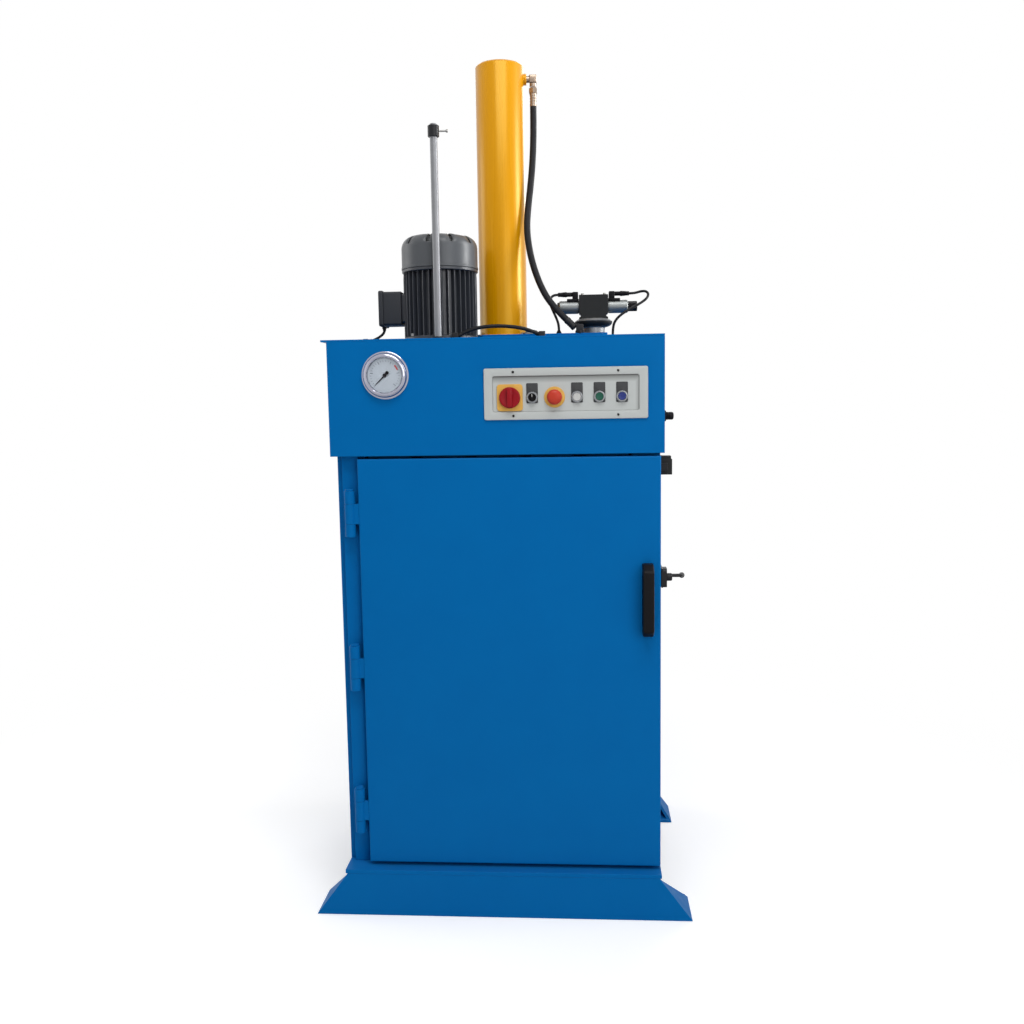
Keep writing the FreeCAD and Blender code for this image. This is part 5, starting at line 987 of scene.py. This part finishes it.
def addButtons(size):
    # the selector and three push buttons, each on its legend plate and in its bezel
    small = [(size["places"][index], 0, size["z"]) for index in size["small"]]
    x, z, face = small[0][0], size["z"], size["face"]
    legends = [extruded(rectangle(*size["legend"]), face, face + size["legendSheet"],
                        (spot[0], 0, z + size["legendRise"]), forward, 0.4) for spot in small]
    addPiece("legend_sheets", joined(*legends), "legend_plastic", "frame", ("legend_plates",))
    bore, stem = size["bore"], size["stem"]
    bezel = [(10, 5.6), (10, 8.9), (10.5, 9.6), (11.4, 9.7), (13.2, 9.4), (14.3, 8.2),
             (14.75, 6.4), (14.75, 4.2), (14.2, 3.7), (11, 3.7), (11, -15.3), (bore, -15.3),
             (bore, 2), (10, 2), (10, 5.6)]
    addPiece("bezel_rings", joined(*[turned(bezel, spot, forward, 64) for spot in small]),
             "bezel_plastic", "frame", ("button_bezels",))
    cap = [(0, 9.0), (5, 9.15), (8, 9.5), (9.2, 9.6), (9.7, 9.0), (9.7, 6.7), (stem, 6.7),
           (stem, -18.3), (0, -18.3)]
    selector, *buttons = [turned(cap, spot, forward, 56) for spot in small]
    for shape, name in zip(buttons, ("white", "green", "blue")):
        addPiece(name + "_button_cap", shape, name + "_plastic", name + "_button",
                 (name + "_button",))
    grip = softBox((x - 3.5, -18.7, z - 8.9), (x + 3.5, -8.5, z + 8.9), 2.6, 1.2, forward)
    mark = softBox((x - 0.7, -18.95, z + 1), (x + 0.7, -18.5, z + 8), 0.5, 0.15, forward)
    addPiece("selector_cap", joined(selector, grip), "black_plastic", "selector_knob",
             ("selector_knob",))
    addPiece("selector_mark", mark, "white_plastic", "selector_knob")


def addStopButton(size):
    spot = (size["places"][2], 0, size["z"])
    bore, stem, shankEnd, stemEnd = (size[key] for key in ("bore", "stem", "shankEnd", "stemEnd"))
    collar = turned([(10, 4.9), (10.6, 5.5), (24.5, 5.5), (25.9, 4.9), (26.25, 3.8), (26.25, 2.5),
                     (11, 2.5), (11, shankEnd), (bore, shankEnd), (bore, -2.2), (10, -2.2),
                     (10, 4.9)], spot, forward, 72)
    addPiece("estop_disc", collar, "yellow_plastic", "frame", ("estop_collar",))
    head = turned([(0, 25.5), (5, 25.4), (10, 24.7), (14.4, 23.0), (17.4, 20.4), (18.8, 17.4),
                   (19, 14.5), (18.6, 12.2), (17.2, 10.7), (9.8, 10.5), (9.7, 10.2), (9.7, 2.6),
                   (stem, 2.6), (stem, stemEnd), (0, stemEnd)], spot, forward, 72)
    addPiece("estop_head", head, "stop_red", "estop_button", ("estop_button",), sharp=40)


def addMainSwitch(size):
    x, z = size["places"][0], size["z"]
    spot = (x, 0, z)
    bore, stem, shankEnd, stemEnd = (size[key] for key in ("bore", "stem", "shankEnd", "stemEnd"))
    face = size["face"]
    plate = extruded(rectangle(*size["plate"]), face, face + size["plateSheet"], spot, forward, 1.2)
    shank = turned([(bore, face), (11, face), (11, shankEnd), (bore, shankEnd), (bore, face)],
                   spot, forward, 40)
    addPiece("main_switch_base", joined(plate, shank), "yellow_plastic", "frame",
             ("main_switch_plate",))
    disc = turned([(0, 13.2), (8, 13.4), (20, 15.2), (23.5, 15.8), (25.3, 15.2), (26.5, 13.2),
                   (26.5, 7.6), (26, 6.8), (stem, 6.8), (stem, stemEnd), (0, stemEnd)],
                  spot, forward, 72)
    bar = softBox((x - 6.5, -23.8, z - 23.5), (x + 6.5, -12.5, z + 23.5), 5, 2.2, forward)
    addPiece("main_switch_grip", joined(disc, bar), "red_plastic", "main_switch_knob",
             ("main_switch_knob",), sharp=40)


addButtons(controlSettings)
addStopButton(controlSettings)
addMainSwitch(controlSettings)
print("control panel made")


# door handle, latch lever and gland

handleSettings = {"x": 382.5, "half": 14, "low": 757, "high": 943, "reach": 46, "bar": 16,
                  "foot": 24, "slope": 10, "bend": 16, "rim": 4.5}


def addHandle(size):
    # an outline of height against depth, where the front is at negative x
    low, high, reach, bend = size["low"], size["high"], size["reach"], size["bend"]
    back, foot = reach - size["bar"], size["foot"]
    slope = foot + size["slope"]
    outline = softCorners([(0, high), (-reach / 2, high), (-reach, high - bend),
                           (-reach, low + bend), (-reach / 2, low), (0, low), (0, low + foot),
                           (-back, low + slope), (-back, high - slope), (0, high - foot)],
                          [0.8, 9, 10, 10, 9, 0.8, 0.8, 9, 9, 0.8], 5)
    half = size["half"]
    shape = extruded(outline, -half, half, (size["x"], 0, 0), rightward, size["rim"], 4)
    addPiece("door_handle_grip", shape, "black_plastic", "door", ("door_handle",), sharp=50)


addHandle(handleSettings)
leverSettings = {"hub": (431.8, 24, 903), "bore": 5.05, "hubRadius": 10, "hubLength": 14,
                 "armX": 470.3, "armZ": 907, "arm": 4.5, "bend": 9, "gripEnd": 94, "grip": 5.5,
                 "spread": 7, "drop": 12, "ball": 7.5}


def addLever(size):
    # the arm goes out, bends back by a quarter circle, and leans outward and down by its share
    # of the way to the grip's end
    x, y, z = size["hub"]
    radius, length, bore = size["hubRadius"], size["hubLength"], size["bore"]
    hub = turned([(bore, 0), (radius - 1, 0), (radius, 1), (radius, length - 2),
                  (radius - 2, length), (0, length), (0, length - 2.5), (bore, length - 2.5),
                  (bore, 0)], (x, y, z), rightward, 44)
    turn = np.linspace(0, np.pi / 2, 8)
    bend, armX, armZ = size["bend"], size["armX"], size["armZ"]
    arc = np.column_stack([armX - bend + bend * np.sin(turn), y + bend - bend * np.cos(turn),
                           np.full(8, armZ)])
    reach = np.array([18, 22, 40, size["gripEnd"] - y])
    share = (reach - bend) / (reach[-1] - bend)
    lean = np.column_stack([armX + share * size["spread"], y + reach, armZ - share * size["drop"]])
    path = np.vstack([[(x + length - 3, y, armZ), (x + length + 4, y, armZ)], arc, lean])
    arm, grip, ball = size["arm"], size["grip"], size["ball"]
    rod = roundTube(path, [arm] * (len(path) - 3) + [grip, grip + 0.3, grip - 0.8])
    turn = np.linspace(-np.pi / 2, np.pi / 2, 17)
    knob = turned(np.column_stack([ball * np.cos(turn), ball * np.sin(turn)]), path[-1],
                  backward, 36)
    addPiece("latch_lever_arm", joined(hub, rod, knob), "black_metal", "latch_lever",
             ("latch_lever",), sharp=40)


addLever(leverSettings)
glandSettings = {"centre": (419, 60, 1313), "face": 425, "end": 452, "nut": (24, 8), "hole": 3.2}


def addGland(size):
    x, y, z = centre = size["centre"]
    step, end, hole = size["face"] - x, size["end"] - x, size["hole"]
    stub = turned([(0, 0), (8, 0), (8, step), (0, step)], centre, rightward, 32)
    nut = hexHead(*size["nut"], (size["face"], y, z), rightward)
    body = turned([(0, step + 7), (9, step + 7), (10, step + 9), (10, step + 14), (9.2, step + 15),
                   (10, step + 16), (10, end - 4), (8.4, end - 1), (5, end), (hole, end),
                   (hole, end - 3), (0, end - 3)], centre, rightward, 48)
    addPiece("gland_body", joined(stub, nut, body), "black_plastic", "frame", ("cable_gland",))


addGland(glandSettings)
print("door fittings made")


# floor, light and background

# a lamp is named by its place, aim, width, height, watts and spread in degrees
studioSettings = {"floorHalf": 14.0, "worldLight": 0.34, "fadeStart": 1.1, "fadeEnd": 2.6,
                  "floorLift": 0.37, "floorShade": (0.82, 0.82, 0.82, 1), "floorRough": 0.9,
                  "floorSpecular": 0.1,
                  "lamps": [("top", (0.4, -1.7, 4.2), (0, 0.1, 1.0), 2.2, 1.6, 66, 180),
                            ("front", (1.9, -3.1, 2.3), (0, 0.1, 0.9), 2.2, 2.0, 38, 180),
                            ("side", (3.0, 0.5, 2.6), (0, 0.34, 2.0), 0.9, 2.2, 13, 60),
                            ("fill", (-2.8, -2.6, 1.9), (0, 0.3, 1.0), 1.6, 2.2, 4, 180),
                            ("left", (-3.4, 1.0, 2.3), (0, 0.4, 1.1), 1.6, 2.4, 24, 180),
                            ("back", (0.4, 3.4, 3.2), (0, 0.5, 1.1), 2.4, 1.6, 40, 180)]}


def seen(tree):
    # 1 for what the camera sees, straight, in a reflection or through glass, and 0 for light
    ray = addNode(tree, "LightPath", {}).outputs
    direct = reckoned(tree, "MAXIMUM", ray["Is Camera Ray"], ray["Is Glossy Ray"])
    return reckoned(tree, "MAXIMUM", direct, ray["Is Transmission Ray"])


def addFloor(settings):
    # near the machine the floor takes its shadow, and further out it turns to plain white
    half = settings["floorHalf"]
    mesh = bpy.data.meshes.new("floor")
    mesh.from_pydata([(-half, -half, 0), (half, -half, 0), (half, half, 0), (-half, half, 0)], [],
                     [(0, 1, 2, 3)])
    floor = bpy.data.objects.new("floor", mesh)
    scene.collection.objects.link(floor)
    material = bpy.data.materials.new("floor_pale")
    material.use_nodes = True
    tree = material.node_tree
    camera = addNode(tree, "LightPath", {}).outputs["Is Camera Ray"]
    shader = wired(tree, tree.nodes["Principled BSDF"], {
        "Base Color": settings["floorShade"], "Roughness": settings["floorRough"],
        "Specular IOR Level": settings["floorSpecular"], "Emission Color": (1, 1, 1, 1),
        "Emission Strength": reckoned(tree, "MULTIPLY", camera, settings["floorLift"])})
    place = addNode(tree, "TexCoord", {}).outputs["Object"]
    reach = addNode(tree, "VectorMath", {0: place}, operation="LENGTH").outputs["Value"]
    fade = ramped(tree, reach, settings["fadeStart"], settings["fadeEnd"],
                  interpolation_type="SMOOTHSTEP")
    plain = addNode(tree, "Emission", {}).outputs["Emission"]
    blend = addNode(tree, "MixShader", {"Fac": reckoned(tree, "MULTIPLY", fade, seen(tree)),
                                        1: shader.outputs["BSDF"], 2: plain})
    wired(tree, tree.nodes["Material Output"], {"Surface": blend.outputs["Shader"]})
    mesh.materials.append(material)


def addLight(settings):
    # the world is white to the camera and dimmer as a light
    world = bpy.data.worlds.new("studio")
    world.use_nodes = True
    scene.world = world
    tree = world.node_tree
    strength = ramped(tree, seen(tree), 0, 1, settings["worldLight"], 1)
    wired(tree, tree.nodes["Background"], {"Color": (1, 1, 1, 1), "Strength": strength})
    for name, place, aim, wide, tall, power, spread in settings["lamps"]:
        lamp = bpy.data.lights.new(name, "AREA")
        lamp.shape = "RECTANGLE"
        lamp.size, lamp.size_y, lamp.energy = wide, tall, power
        lamp.spread = math.radians(spread)
        holder = bpy.data.objects.new(name, lamp)
        scene.collection.objects.link(holder)
        holder.location = place
        holder.rotation_euler = (Vector(aim) - Vector(place)).to_track_quat("-Z", "Y").to_euler()


addFloor(studioSettings)
addLight(studioSettings)
print("studio made")
